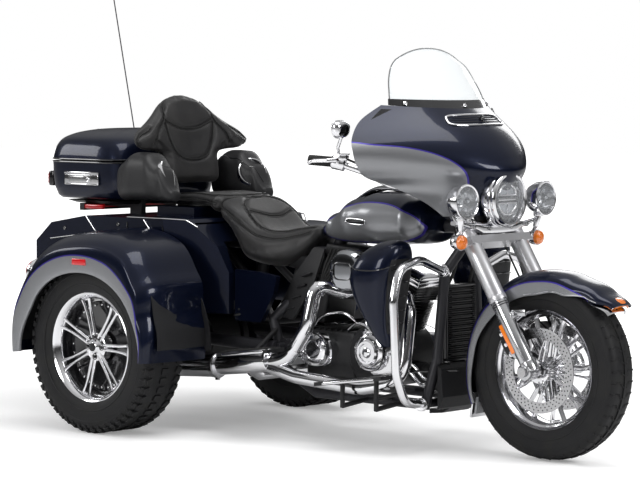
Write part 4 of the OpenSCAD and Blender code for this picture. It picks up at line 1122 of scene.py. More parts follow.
@dataclass
class FrontFender:
    """The deep front fender, its flap, trim and lit tip."""

    wheel: Point = (1670.0, 320.0)
    crown: Table = ((38, 394), (50, 374), (70, 356), (95, 348), (130, 341), (170, 339), (206, 341))
    skirt: Table = ((38, 372), (50, 332), (70, 287), (95, 262), (130, 262), (170, 280), (206, 306))
    half: float = 88.0

    def spot(self, angle: float, radius: float, y: float) -> Point:
        """Returns a point about the front axle."""
        turn = math.radians(angle)
        return (self.wheel[0] + radius * math.cos(turn), y, self.wheel[1] + radius * math.sin(turn))

    def shape(self, u: float, v: float) -> Point:
        """Returns the point at a share along the fender and across it."""
        angle = mix(38, 206, u)
        c, low = along(self.crown, angle), along(self.skirt, angle)
        across = 2 * v - 1
        reach = abs(across)
        slim = along(((38, 0.62), (50, 0.86), (64, 1.0)), angle)
        shoulder = min(reach / 0.55, 1.0)
        y = self.half * slim * math.sin(shoulder * math.pi / 2) ** 0.92
        radius = c - 44 * (1 - math.cos(shoulder * math.pi / 2)) ** 1.1 * min(1.0, (c - low) / 60)
        if reach > 0.55:
            radius = mix(radius, low, (reach - 0.55) / 0.45)
        return self.spot(angle, radius, math.copysign(y, across))

    def panel(self, u: float, v: float, at: Vector) -> float:
        """Returns how far a point lies inside the silver side panel."""
        angle = mix(38, 206, u)
        c, low = along(self.crown, angle), along(self.skirt, angle)
        radius = math.hypot(at.x - self.wheel[0], at.z - self.wheel[1])
        border = c - along(((38, 50), (70, 36), (110, 40), (160, 30), (206, 22)), angle)
        front = (angle - 46) * 5
        return min(border - radius, front) if abs(2 * v - 1) > 0.3 else -40.0

    def build(self) -> None:
        """Builds the fender."""
        skin = Form().surface(56, 84, self.shape, self.panel).wall(4.0)
        skin.piece("front_fender_skin", TWO_TONE, Body.STEERING, ("front_fender",), sharp=55)
        # a chrome edge that follows the front of the skirt, and the tip under the lamp
        trim = Form()
        for sign in (-1, 1):
            trim.tube([self.spot(a, along(self.skirt, a) + 5, sign * (self.half * along(((38, 0.62),
                (50, 0.86), (64, 1.0)), a) + 1)) for a in range(46, 104, 4)], 3.2, 8, 0.6)
        trim.piece("front_fender_trim", CHROME, Body.STEERING)
        tip = Form().surface(16, 28, lambda u, v: self.spot(mix(36.5, 52,
            v * (1 - 0.35 * (1 - (2 * u - 1) ** 2))), along(self.crown,
            mix(36.5, 52, v)) - 27 + 2 - 24 * abs(2 * u - 1) ** 3,
            (2 * u - 1) * 80 * along(((36, 0.66), (50, 0.9), (64, 1.0)), mix(36.5, 52, v)))).wall(5.0)
        tip.piece("front_fender_tip", CHROME, Body.STEERING, sharp=60)
        lamp = Form().surface(12, 24, lambda u, v: self.spot(mix(37.6, 45.5, v),
            along(self.crown, mix(38, 46, v)) - 6 + 9 * math.sin(math.pi * v) ** 0.6 * math.sqrt(max(0.0,
            1 - (2 * u - 1) ** 2)) - 12 * abs(2 * u - 1) ** 3, (2 * u - 1) * 40)).wall(5.0)
        lamp.piece("front_fender_lamp", AMBER, Body.STEERING, sharp=60)
        # flap at the rear end, with its chrome frame and reflector
        flap = Form().block((1374, 0, 174), (10, 150, 92), (0, 8, 0), 4)
        flap.piece("front_fender_flap", CHROME, Body.STEERING)
        glass = Form().block((1367, 0, 172), (8, 118, 62), (0, 8, 0), 3)
        glass.block((1381, 0, 172), (8, 118, 62), (0, 8, 0), 3)
        glass.piece("front_fender_reflector", REFLECTOR, Body.STEERING)


# ---------------------------------------------------------------- front end


def depth_in(outline: Sequence[tuple[float, float]], x: float, y: float) -> float:
    """Measures how far a point lies inside a closed outline.

    Args:
        outline: The outline's corners.
        x: The point's first coordinate.
        y: Its second.

    Returns:
        The distance to the outline, below 0 outside it.
    """
    inside, least = False, math.inf
    for (ax, ay), (bx, by) in zip(outline, [*outline[1:], outline[0]]):
        if (ay > y) != (by > y) and x < (bx - ax) * (y - ay) / (by - ay) + ax:
            inside = not inside
        run, off = Vector((bx - ax, by - ay)), Vector((x - ax, y - ay))
        share = min(max(off.dot(run) / max(run.length_squared, 1e-9), 0.0), 1.0)
        least = min(least, (off - run * share).length)
    return least if inside else -least


def smooth_outline(points: Sequence[tuple[float, float]], count: int = 60) -> list[tuple[float, float]]:
    """Returns a closed smooth outline through some points."""
    around = [(*points[(k - 1) % len(points)], 0) for k in range(len(points) + 3)]
    out = []
    for k in range(count):
        at = flowing(around, mix(1, len(points) + 1, k / count) / (len(around) - 1))
        out.append((at.x, at.y))
    return out


def squircle(turn: float, power: float) -> tuple[float, float]:
    """Returns the point of a unit superellipse at a share of the way round."""
    c, s = math.cos(math.tau * turn), math.sin(math.tau * turn)
    return superpower(c, 2 / power), superpower(s, 2 / power)


@dataclass
class Fork:
    """The two fork legs, their covers, reflectors and fender brackets."""

    spread: float = 133.0
    rake: float = 32.0
    axle: Point = (1670.0, 320.0)

    def at(self, z: float, ahead: float = 0.0, side: float = 1.0, out: float = 0.0) -> Vector:
        """Returns a point level with z on a leg, moved ahead of it and outwards."""
        x = self.axle[0] + 16 - (z - self.axle[1]) * math.tan(math.radians(self.rake))
        turn = math.radians(self.rake)
        return Vector((x + ahead * math.cos(turn), side * (self.spread + out),
            z + ahead * math.sin(turn)))

    def build(self) -> None:
        """Builds both legs."""
        covers, sliders, rings, bits, amber, bolts = Form(), Form(), Form(), Form(), Form(), Form()
        for side in (-1, 1):
            covers.rod(self.at(886, side=side), self.at(556, side=side), 31.5, segments=48, bevel=1.5)
            covers.rod(self.at(572, side=side), self.at(556, side=side), 33, segments=48, bevel=2)
            sliders.rod(self.at(560, side=side), self.at(318, side=side), 29.0, 27.5, 48, 3)
            for z in (548, 541):
                rings.rod(self.at(z, side=side), self.at(z - 3, side=side), 30.6, segments=40, bevel=0.8)
            # axle clamp, caliper lugs and fender bracket
            bits.rod((self.axle[0], side * (self.spread - 26), self.axle[1]),
                (self.axle[0], side * (self.spread + 27), self.axle[1]), 29, segments=40, bevel=3)
            bits.rod(self.at(352, side=side), self.at(322, side=side), 31, 29, 36, 3)
            bits.block(self.at(396, -30, side), (40, 22, 26), (0, self.rake, 0), 4)
            bits.block(self.at(470, -28, side), (40, 20, 24), (0, self.rake, 0), 4)
            bits.block(self.at(498, 40, side, -12), (78, 10, 24), (0, -6, 0), 4)
            bits.rod(self.at(498, 22, side, 6), self.at(498, 22, side, -20), 15, segments=32, bevel=2)
            bolts.rod(self.at(498, 22, side, 4), self.at(498, 22, side, 12), 9, segments=6, bevel=1)
            bolts.rod((self.axle[0], side * (self.spread + 26), self.axle[1]),
                (self.axle[0], side * (self.spread + 34), self.axle[1]), 15, segments=24, bevel=3)
            bolts.rod((self.axle[0], side * (self.spread + 33), self.axle[1]),
                (self.axle[0], side * (self.spread + 36), self.axle[1]), 8, segments=6)
            amber.block(self.at(440, -19, side, 22), (20, 7, 112), (0, -self.rake, 0), 2.4)
        covers.piece("fork_covers", SATIN, Body.STEERING, ("fork_legs",))
        sliders.piece("fork_sliders", POLISHED, Body.STEERING)
        rings.piece("fork_seal_rings", FRAME_BLACK, Body.STEERING)
        bits.piece("fork_clamps", POLISHED, Body.STEERING)
        bolts.piece("fork_bolts", CHROME, Body.STEERING)
        # The fork reflectors use the amber lamp finish, so its faint glow is a painted glow on these
        # reflectors, which are not lamps.
        amber.piece("fork_reflectors", AMBER, Body.STEERING)
        self.calipers()

    def calipers(self) -> None:
        """Builds a four-piston caliper behind each leg, with its bolts and pads."""
        body, pins, pads = Form(), Form(), Form()
        for side in (-1, 1):
            for out, thick in ((-53, 38), (-82, 17)):
                plan = [(0, -62), (24, -58), (40, -30), (44, 6), (40, 40), (22, 62), (-2, 64), (-18, 34),
                    (-20, -34)]
                outline = [self.at(436, -34, side, out) + Vector((-b * 0.42 - a, 0,
                    b * 0.9 - a * 0.42)) for a, b in plan]
                body.plate(outline, (0, side * thick, 0), 4)
            for z in (402, 436, 470):
                pins.rod(self.at(z, -56, side, -14), self.at(z, -56, side, -5), 8, segments=20, bevel=1.5)
                pins.rod(self.at(z, -56, side, -5.5), self.at(z, -56, side, -2), 5, segments=6)
            pads.block(self.at(436, -58, side, -54), (30, 8, 74), (0, -self.rake, 0), 2)
        body.piece("calipers", ENGINE_BLACK, Body.STEERING, ("brake_calipers",), slot="cast_black")
        pins.piece("caliper_bolts", CHROME, Body.STEERING)
        pads.piece("caliper_pads", FRAME_BLACK, Body.STEERING)


@dataclass
class Fairing:
    """The fork-mounted fairing with its vent, screen and dash."""

    half: float = 458.0
    rows: Sequence[Point] = ((1290, 1225, 0.655, 1135, 1238), (1334, 1195, 0.84, 1112, 1184),
        (1394, 1150, 0.96, 1122, 1124), (1440, 1100, 1.0, 1142, 1074), (1474, 1050, 0.965, 1148, 1024),
        (1492, 1006, 0.86, 1148, 984), (1470, 950, 0.68, 1200, 950), (1444, 900, 0.54, 1290, 900),
        (1426, 850, 0.46, 1350, 850))
    shield: Sequence[Point] = ((1102, 1440, 176, 1096, 1398), (1128, 1408, 212, 1106, 1372),
        (1176, 1350, 240, 1120, 1326), (1228, 1285, 258, 1138, 1280), (1276, 1222, 268, 1150, 1236))
    wing: Sequence[tuple[float, float]] = ((470, 1106), (400, 1100), (330, 1092), (262, 1072),
        (206, 1040), (168, 1000), (140, 948), (128, 900), (150, 852), (230, 840), (330, 880), (420, 960),
        (470, 1040))

    def row(self, rows: Sequence[Point], v: float) -> tuple[float, ...]:
        """Returns a row's five values at a share of the way down."""
        a = flowing([r[:3] for r in rows], v)
        b = flowing([(*r[3:], 0) for r in rows], v)
        return a.x, a.y, a.z, b.x, b.y

    def shape(self, u: float, v: float, out: float = 0.0) -> Point:
        """Returns the fairing's point at a share across it and down it, moved outwards."""
        mid_x, mid_z, share, side_x, side_z = self.row(self.rows, v)
        across = 2 * u - 1
        x = mix(side_x, mid_x, 1 - abs(across) ** 1.8)
        return (x + out, self.half * share * across, mix(mid_z, side_z, across * across) + out * 0.4)

    def glass(self, u: float, v: float, out: float = 0.0) -> Point:
        """Returns the screen's point at a share across it and down it."""
        mid_x, mid_z, half, side_x, side_z = self.row(self.shield, v)
        across = 2 * u - 1
        reach = abs(across)
        x = mix(side_x, mid_x, 1 - reach ** 2.2)
        return (x + out, half * across, mix(mid_z, side_z, reach ** 2.2) + out * 0.5)

    def panel(self, u: float, v: float, at: Vector) -> float:
        """Returns how far a point lies inside its wing's silver panel."""
        return depth_in(self.outline, abs(at.y), at.z)

    def build(self) -> None:
        """Builds the fairing and everything on it."""
        self.outline = smooth_outline(self.wing, 90)
        skin = Form().surface(104, 150, self.shape, self.panel).wall(4.5)
        skin.piece("fairing_skin", TWO_TONE, Body.STEERING, ("fairing",), sharp=50)
        self.vent()
        self.screen()
        self.dash()

    def vent(self) -> None:
        """Builds the slot vent under the screen."""
        def ring(share: float, out: float, grow: float) -> Point:
            """Returns a point round the slot."""
            a, b = squircle(share, 5.0)
            return self.shape(0.5 + a * (0.182 + grow * 0.35), 0.150 + b * (0.047 + grow), out)

        lip = Form().tube([ring(k / 48, 2.5, 0.004) for k in range(48)] + [ring(0, 2.5, 0.004)], 5.0, 10,
            0.7)
        lip.piece("vent_frame", CHROME, Body.STEERING)
        well = Form().surface(3, 48, lambda u, v: Vector(ring(u, 1.6,
            0.0)).lerp(Vector(self.shape(0.5, 0.152, -9.0)), v))
        well.wall(1.5).piece("vent_well", PLASTIC, Body.STEERING)
        slats = Form()
        for shift in (-0.022, 0.0, 0.022):
            reach = 0.165 if shift == 0 else 0.15
            slats.tube([self.shape(0.5 + reach * k / 8, 0.150 + shift, 0.6) for k in range(-8, 9)], 2.6,
                8, 0.6)
        slats.block(self.shape(0.5, 0.150, 1.0), (16, 9, 30), (0, 45, 0), 2)
        slats.piece("vent_slats", GLOSS_BLACK, Body.STEERING)

    def screen(self) -> None:
        """Builds the clear screen, its base strip, edge bead and screws."""
        pane = Form().surface(40, 56, self.glass).wall(3.4)
        pane.piece("screen_pane", SCREEN, Body.STEERING, ("windshield",), sharp=60)
        edge = [self.glass(0, v / 24) for v in range(22, 0, -1)] + [self.glass(u / 40,
            0) for u in range(41)]
        edge += [self.glass(1, v / 24) for v in range(1, 23)]
        bead = Form().tube([Vector(at) + Vector((-1.7, 0, 0)) for at in edge], 2.6, 8)
        bead.piece("screen_bead", SCREEN_EDGE, Body.STEERING)
        strip = Form().surface(6, 64, lambda u, v: self.glass(mix(-0.012, 1.012, u), mix(0.86, 1.04, v),
            3.0)).wall(3.0)
        strip.piece("screen_strip", GLOSS_BLACK, Body.STEERING, sharp=60, slot="paint_navy")
        screws = Form()
        for u in (0.07, 0.5, 0.93):
            at = Vector(self.glass(u, 0.94, 5.0))
            screws.lathe(at, (0.8, (u - 0.5) * 0.9, 0.55), [(0, 9), (3, 8.5), (4.5, 6), (4.5, 3.5),
                (2.5, 3.5), (2.5, 0)], 24)
        screws.piece("screen_screws", CHROME, Body.STEERING)

    def dash(self) -> None:
        """Builds the inner fairing with its dials, speakers, screen and switches."""
        profile = [(1056, 1010), (1110, 966), (1196, 968), (1226, 1060), (1200, 1158), (1140, 1184),
            (1084, 1136)]
        body = Form().plate([(x, -250, z) for x, z in profile], (0, 500, 0), 9)
        body.piece("dash", PLASTIC, Body.STEERING, ("inner_fairing",))
        pods, wing = Form(), Form()
        wing.surface(14, 60, lambda u, v: Vector(self.shape(mix(0.02, 0.98, u), mix(0.02, 0.62, v),
            -6)).lerp(Vector((1168, (u - 0.5) * 700, mix(1215, 1010, v))), 0.34)).wall(3)
        wing.piece("dash_liner", PLASTIC, Body.STEERING, sharp=50)
        faces, rims, marks, grille = Form(), Form(), Form(), Form()
        axis = Vector((-0.88, 0, 0.47))
        for y, radius in ((-62, 46), (62, 46), (-132, 24), (132, 24), (-190, 24), (190, 24)):
            at = Vector((1072, y, 1112))
            faces.lathe(at, axis, [(2, 0), (2, radius - 2), (-6, radius - 2)], 40)
            rims.lathe(at, axis, [(-8, radius), (8, radius), (9, radius - 2), (8, radius - 4),
                (-8, radius - 4)], 40, True)
            for k in range(-4, 5):
                turn = aimed(at, at + axis) @ Matrix.Rotation(math.radians(k * 30 + 90), 4, "Z")
                marks.rod(turn @ Vector((radius * 0.72, 0, 1)), turn @ Vector((radius * 0.86, 0, 2.8)),
                    0.9, segments=6)
            needle = aimed(at, at + axis) @ Matrix.Rotation(math.radians(200), 4, "Z")
            marks.rod(needle @ Vector((0, 0, 2.6)), needle @ Vector((radius * 0.7, 0, 2.6)), 1.0, 0.5, 6)
        for y in (-205, 205):
            at = Vector((1058, y, 1048))
            grille.lathe(at, (-1, 0, 0.15), [(-6, 0), (-6, 38), (2, 40), (6, 36), (5, 30), (3, 30),
                (2, 24), (3, 22), (2, 16), (3, 14), (2, 8), (3, 6), (3, 0)], 36)
        grille.piece("dash_speakers", GLOSS_BLACK, Body.STEERING)
        faces.piece("dial_faces", DIAL, Body.STEERING)
        rims.piece("dial_rims", CHROME, Body.STEERING)
        marks.piece("dial_marks", WHITE_PAINT, Body.STEERING)
        pods.block((1066, 0, 1046), (10, 168, 74), (0, 12, 0), 5)
        for k in range(-3, 4):
            pods.block((1058, k * 22, 1002), (10, 15, 8), (0, 20, 0), 2)
        pods.piece("dash_display", GLOSS_BLACK, Body.STEERING)


@dataclass
class FrontLamps:
    """The headlamp, spot lamps, bullet signals and the bar that holds them."""

    head: Point = (1462.0, 0.0, 907.0)
    spot: Point = (1444.0, 224.0, 904.0)
    signal: Point = (1428.0, 219.0, 762.0)

    def headlamp(self) -> None:
        """Builds the round headlamp with its two stacked elements."""
        at, ahead = Vector(self.head), (1, 0, 0)
        bezel = Form().lathe(at, ahead, [(-30, 91), (-4, 96), (12, 97), (20, 95), (24, 90), (22, 84),
            (12, 80), (2, 78), (0, 84), (-26, 86)], 96, True)
        bezel.lathe(at, ahead, [(-34, 98), (-12, 101), (2, 101), (6, 98), (0, 95), (-32, 94)], 96, True)
        bezel.piece("headlamp_bezel", CHROME, Body.STEERING, ("headlamp",))
        bowl = Form().lathe(at, ahead, [(-30, 0), (-28, 40), (-18, 66), (2, 80), (2, 84), (-34, 84),
            (-38, 0)], 72)
        bowl.piece("headlamp_bowl", BOWL, Body.STEERING)
        cells, frames, ribs = Form(), Form(), Form()
        for sign in (-1, 1):
            ring = []
            for k in range(25):
                turn = math.radians(mix(8, 172, k / 24))
                ring.append((at.x + 6, 50 * math.cos(turn), at.z + sign * (8 + 46 * math.sin(turn))))
            frames.tube([*ring, ring[0]], 5.0, 10)
            cells.plate([(p[0] - 10, p[1] * 0.94, at.z + (p[2] - at.z) * 0.96) for p in ring], (6, 0, 0),
                1.5)
            frames.block((at.x + 4, 0, at.z + sign * 30), (8, 5, 40), bevel=1.5)
            for side in (-1, 1):
                ribs.lathe((at.x - 8, side * 64, at.z + sign * 12), ahead,
                    [(0, 0), (0, 9), (10, 12), (12, 11), (4, 7), (4, 0)], 24)
        frames.block((at.x + 5, 0, at.z), (9, 104, 9), bevel=2)
        cells.piece("headlamp_cells", LIT, Body.STEERING)
        frames.piece("headlamp_frames", CHROME, Body.STEERING)
        ribs.piece("headlamp_reflectors", BOWL, Body.STEERING)
        glass = Form().lathe(at, ahead, [(10, 82), (15, 70), (19, 44), (21, 18), (21.5, 0), (19.5, 0),
            (17, 44), (13, 70), (8, 82)], 64)
        glass.piece("headlamp_glass", CLEAR, Body.STEERING)

    def spots(self) -> None:
        """Builds the two spot lamps."""
        shell, bowl, glass, bulb = Form(), Form(), Form(), Form()
        at, ahead = Vector(self.spot), (1, 0.03, 0)
        shell.lathe(at, ahead, [(-52, 0), (-50, 26), (-38, 44), (-16, 56), (4, 60), (16, 62), (24, 63),
            (27, 60), (25, 55), (20, 53), (12, 53), (8, 56), (-14, 52), (-36, 40), (-46, 24), (-48, 0)],
            64)
        bowl.lathe(at, ahead, [(-26, 0), (-24, 16), (-14, 34), (4, 48), (18, 53), (18, 54), (-16, 50),
            (-34, 20), (-34, 0)], 48)
        bowl.lathe(at, ahead, [(-24, 9), (-8, 14), (-6, 13), (-22, 7)], 32, True)
        for k in range(6):
            turn = math.tau * k / 6
            bulb.ball(at + Vector((2, 30 * math.cos(turn), 30 * math.sin(turn))), (5, 7, 7), 12)
        bulb.ball(at + Vector((-6, 0, 0)), (8, 10, 10), 16)
        glass.lathe(at, ahead, [(20, 54), (23, 40), (25, 20), (25.5, 0), (24, 0), (23, 20), (21, 40),
            (18, 54)], 48)
        shell.both_sides().piece("spot_shells", CHROME, Body.STEERING)
        bowl.both_sides().piece("spot_bowls", BOWL, Body.STEERING)
        bulb.both_sides().piece("spot_bulbs", LIT, Body.STEERING)
        glass.both_sides().piece("spot_glasses", CLEAR, Body.STEERING)

    def signals(self) -> None:
        """Builds the bullet signals."""
        cup, lens = Form(), Form()
        at, ahead = Vector(self.signal), (1, 0, 0)
        cup.lathe(at, ahead, [(-32, 0), (-31, 12), (-24, 22), (-10, 28), (6, 29), (10, 28.5), (10, 26),
            (-8, 25), (-24, 0)], 40)
        cup.rod(at + Vector((-8, 0, 24)), (1434, 210, 800), 8, segments=20, bevel=1)
        lens.lathe(at, ahead, [(4, 0), (4, 26), (12, 26), (20, 23), (23, 16), (25, 9), (22, 6), (25, 3),
            (25, 0)], 36)
        cup.both_sides().piece("signal_cups", CHROME, Body.STEERING)
        lens.both_sides().piece("signal_lenses", AMBER, Body.STEERING)

    def bar(self) -> None:
        """Builds the lamp bar: nacelle, arms, feet and clamps."""
        bar, bolts = Form(), Form()

        def wing(u: float, v: float) -> Point:
            """Returns a point of the bar's swept plate."""
            y = (2 * u - 1) * 236
            drop = along(((0, 0), (80, -2), (140, 8), (236, 22)), abs(y))
            deep = along(((0, 46), (90, 38), (150, 24), (236, 15)), abs(y))
            a, b = squircle(v, 3.0)
            return (1424 + 13 * a - 0.00016 * y * y, y, 806 + drop + deep * 0.5 * b)

        bar.surface(32, 64, wing, cap=True)
        for sign in (-1, 1):
            bar.rod((1430, sign * 214, 800), (1436, sign * 224, 846), 10, 13, 24, 1.5)
            bar.rod((1436, sign * 224, 838), (1436, sign * 224, 852), 19, segments=28, bevel=3)
            bar.tube([(1420, sign * 60, 812), (1400, sign * 96, 822), (1372, sign * 122, 842),
                (1346, sign * 133, 862)], lambda share: 17 - 3 * share, 14, 0.7)
            bolts.rod((1432, sign * 150, 812), (1444, sign * 150, 812), 8, segments=6, bevel=1)
            bolts.rod((1434, sign * 60, 806), (1445, sign * 60, 806), 8, segments=6, bevel=1)
            # tapered cover that runs up each fork leg
            bar.rod((1352, sign * 133, 862), (1398, sign * 133, 790), 36, 35, 40, 4)
        bar.piece("lamp_bar", CHROME, Body.STEERING, ("light_bar",))
        bolts.piece("lamp_bar_bolts", BRUSHED, Body.STEERING)

    def build(self) -> None:
        """Builds every lamp."""
        self.headlamp()
        self.spots()
        self.signals()
        self.bar()


@dataclass
class Controls:
    """The handlebar, grips, levers, mirrors and cables."""

    path: Sequence[Point] = ((1268, 0, 944), (1262, 96, 944), (1190, 282, 948), (1090, 345, 1004),
        (1000, 392, 1036), (916, 426, 1042))

    def build(self) -> None:
        """Builds both sides."""
        bar = Form().tube(bent(self.path, 60), 12.5, 24)
        bar.rod((1268, 50, 944), (1318, 50, 917), 13, segments=28, bevel=1.5)
        bar.rod((1250, 50, 944), (1286, 50, 944), 21, segments=28, bevel=3)
        bar.both_sides().piece("bar_tube", CHROME, Body.STEERING, ("handlebar",))
        grip = Form()
        start, end = Vector((994, 394, 1036)), Vector((910, 428, 1042))
        run = end - start
        profile = [(0, 15), (0, 20), (5, 20.5), (8, 18)]
        for k in range(11):
            profile += [(10 + k * 6.5, 17.2), (12 + k * 6.5, 18.8), (14.5 + k * 6.5, 18.8),
                (15.5 + k * 6.5, 17.2)]
        profile += [(84, 18.5), (90, 18.5), (91.5, 16), (91.5, 0), (0, 0)]
        grip.lathe(start, run, profile, 40)
        grip.both_sides().piece("grips", RUBBER, Body.STEERING)
        self.levers()
        self.mirrors()
        self.cables()

    def levers(self) -> None:
        """Builds the switch housings, master cylinders and levers."""
        house, lever, keys = Form(), Form(), Form()
        house.rod((1034, 373, 1027), (990, 396, 1037), 25, segments=32, bevel=6)
        house.block((1028, 392, 1052), (54, 34, 22), (0, 0, -26), 6, 3)
        house.block((1030, 392, 1064), (58, 38, 5), (0, 0, -26), 2)
        lever.tube(bent([(1018, 388, 1040), (1030, 412, 1044), (1006, 440, 1042), (958, 462, 1040),
            (940, 462, 1034)], 14), lambda share: 6.4 - 2.0 * share, 14, 1.4)
        lever.ball((940, 462, 1034), (7, 7, 6), 14)
        lever.rod((1024, 404, 1030), (1024, 404, 1056), 7, segments=18, bevel=1.5)
        for x, y, z in ((1000, 372, 1040), (1012, 366, 1032), (990, 378, 1026)):
            keys.block((x, y, z), (12, 8, 9), (0, 0, -26), 2)
        house.both_sides().piece("switch_housings", CHROME, Body.STEERING)
        lever.both_sides().piece("hand_levers", CHROME, Body.STEERING)
        keys.both_sides().piece("switch_keys", PLASTIC, Body.STEERING)

    def mirrors(self) -> None:
        """Builds the mirrors on their stems."""
        stem, shell, glass = Form(), Form(), Form()
        stem.tube(bent([(1016, 388, 1052), (1032, 412, 1088), (1056, 420, 1126)], 20), 5.6, 14)
        stem.rod((1016, 388, 1046), (1016, 388, 1060), 10, segments=24, bevel=2)

        def face(share: float, grow: float) -> tuple[float, float]:
            """Returns a point of the mirror's rounded outline."""
            a, b = squircle(share, 2.8)
            return (41 + grow) * a * (1 + 0.10 * b), (31 + grow) * b

        def cup(u: float, v: float) -> Point:
            """Returns a point of the mirror's shell."""
            shut = math.sin(v * math.pi / 2)
            a, b = face(u, 0)
            return (1048 + 24 * shut, 420 + a * math.cos(v * math.pi / 2) ** 0.5,
                1152 + b * math.cos(v * math.pi / 2) ** 0.5)

        shell.surface(12, 44, cup, cap=True)
        glass.surface(2, 44, lambda u, v: (1047 - 1.4 * (v > 0.4), 420 + face(u, -4 - 30 * (v > 0.9))[0],
            1152 + face(u, -4 - 24 * (v > 0.9))[1]), cap=True)
        rim = Form().tube([(1047, 420 + face(k / 44, -1)[0], 1152 + face(k / 44,
            -1)[1]) for k in range(45)], 2.6, 10)
        stem.both_sides().piece("mirror_stems", CHROME, Body.STEERING)
        shell.both_sides().piece("mirror_shells", CHROME, Body.STEERING)
        rim.both_sides().piece("mirror_rims", CHROME, Body.STEERING)
        glass.both_sides().piece("mirror_glasses", MIRROR, Body.STEERING)

    def cables(self) -> None:
        """Builds the hoses that run from the levers to the forks and down to the calipers."""
        hose, clips = Form(), Form()
        run = flow([(1040, 372, 1046), (1120, 330, 1010), (1206, 262, 962), (1268, 170, 900),
            (1310, 120, 850)], 30)
        hose.tube(run, 4.2, 10)
        run = flow([(1330, 104, 820), (1380, 98, 740), (1440, 98, 640), (1500, 98, 540),
            (1538, 103, 470)], 24)
        hose.tube(run, 3.6, 10)
        for k in (0.35, 0.7):
            at = run[int(k * 24)]
            clips.rod(at - Vector((4, 0, -6)), at + Vector((4, 0, -6)), 6.5, segments=14, bevel=1)
        hose.both_sides().piece("control_hoses", RUBBER, Body.STEERING)
        clips.both_sides().piece("hose_clips", CHROME, Body.STEERING)


# ---------------------------------------------------------------- tank and engine


@dataclass
class Tank:
    """The fuel tank with its console, filler door and bare badges."""

    width: Table = ((640, 54), (720, 112), (840, 158), (980, 176), (1100, 168), (1170, 120), (1196, 60))
    low: Table = ((640, 740), (760, 724), (980, 724), (1120, 734), (1196, 780))
    high: Table = ((640, 790), (720, 838), (840, 898), (930, 918), (1040, 918), (1130, 902), (1196, 850))
    panel_edge: Sequence[tuple[float, float]] = ((655, 768), (700, 800), (770, 838), (850, 868),
        (930, 882), (1020, 882), (1090, 868), (1150, 836), (1178, 796), (1120, 752), (1000, 738),
        (860, 735), (740, 740))

    def shape(self, u: float, v: float) -> Point:
        """Returns the point at a share round a station and along the tank."""
        x = mix(640, 1196, v)
        a, b = squircle(u, 2.6)
        low, high = along(self.low, x), along(self.high, x)
        return (x, along(self.width, x) * a, (low + high) / 2 + (high - low) / 2 * b)

    def panel(self, u: float, v: float, at: Vector) -> float:
        """Returns how far a point lies inside the silver side panel."""
        return depth_in(self.outline, at.x, at.z)

    def build(self) -> None:
        """Builds the tank and what is on it."""
        self.outline = smooth_outline(self.panel_edge, 90)
        skin = Form().surface(96, 128, self.shape, self.panel, cap=True)
        skin.piece("tank_skin", TWO_TONE, stands_for=("fuel_tank",), sharp=60)
        crest = [(1108, 908), (1062, 926), (1008, 934), (910, 937), (846, 923), (770, 885)]
        top = Form()

        def strip(u: float, v: float) -> Point:
            """Returns a point of the console that lies along the tank's top."""
            at = flowing([(x, 0, z) for x, z in crest], v)
            a, b = squircle(u / 2, 3.0)
            half = 42 * (0.35 + 0.65 * math.sin(math.pi * mix(0.12, 0.9, v)))
            return (at.x, half * a, at.z - 14 + 17 * b)

        top.surface(40, 28, strip).wall(4)
        top.piece("console_strip", GLOSS_BLACK, stands_for=("tank_console",), sharp=60)
        bead = Form().tube([Vector(strip(0.02, k / 40)) + Vector((0, 0, 3)) for k in range(41)], 3.0, 8)
        bead.both_sides().piece("console_beads", CHROME)
        lamps = Form()
        for k in range(5):
            lamps.ball((902, (k - 2) * 11, 938), (3.4, 3.4, 2), 12)
        lamps.piece("console_lamps", DIAL)
        self.door()
        self.badges()

    def door(self) -> None:
        """Builds the filler door and its lock."""
        low, high = corners("fuel_door")
        lid, lock = Form(), Form()
        at, half = (low + high) / 2, (high - low) / 2

        def shape(u: float, v: float) -> Point:
            """Returns a point of the door's low dome."""
            a, b = squircle(u, 3.0)
            shut = math.cos(v * math.pi / 2) ** 0.6
            return (at.x + half.x * a * shut, half.y * b * shut,
                at.z - half.z + 2 + (2 * half.z - 3) * math.sin(v * math.pi / 2) ** 0.7)

        lid.surface(10, 48, shape, cap=True)
        lid.piece("filler_door", CHROME, Body.FUEL, ("fuel_door",), sharp=60)
        top = Vector((at.x - half.x * 0.45, 0, at.z + half.z - 1.5))
        lock.lathe(top, (0, 0, 1), [(-3, 0), (-3, 9), (1, 9), (2, 7), (1, 5), (1, 0)], 24)
        lock.block(top + Vector((0, 0, 1.4)), (9, 1.8, 1.2))
        lock.piece("filler_lock", GLOSS_BLACK, Body.FUEL)

    def badges(self) -> None:
        """Builds the plain rounded bar, with nothing on it, on each flank."""
        half, tall, proud, lip = 54.0, 10.0, 3.2, 0.9
        plate, rim = Form(), Form()

        def on(dx: float, dz: float, out: float) -> Point:
            """Returns a point of the badge, laid on the tank's flank."""
            x, z = 902 - dx, 812 + dz + dx * 0.02
            mid = (along(self.low, x) + along(self.high, x)) / 2
            deep = (along(self.high, x) - along(self.low, x)) / 2
            share = min(abs((z - mid) / deep), 0.98)
            return (x, along(self.width, x) * (1 - share ** 2.6) ** (1 / 2.6) + out, z)

        def face(u: float, v: float) -> Point:
            """Returns a point of the bar's face, from its middle to its sunk edge."""
            a, b = squircle(u, 3.0)
            reach = min(v / lip, 1.0)
            return on(half * a * reach, tall * b * reach, proud - 70 * max(v - lip, 0.0))

        plate.surface(10, 48, face, cap=True)
        rim.tube([face(k / 48, lip) for k in range(49)], 1.6, 8)
        plate.both_sides().piece("badge_plates", GLOSS_BLACK)
        rim.both_sides().piece("badge_rims", CHROME)


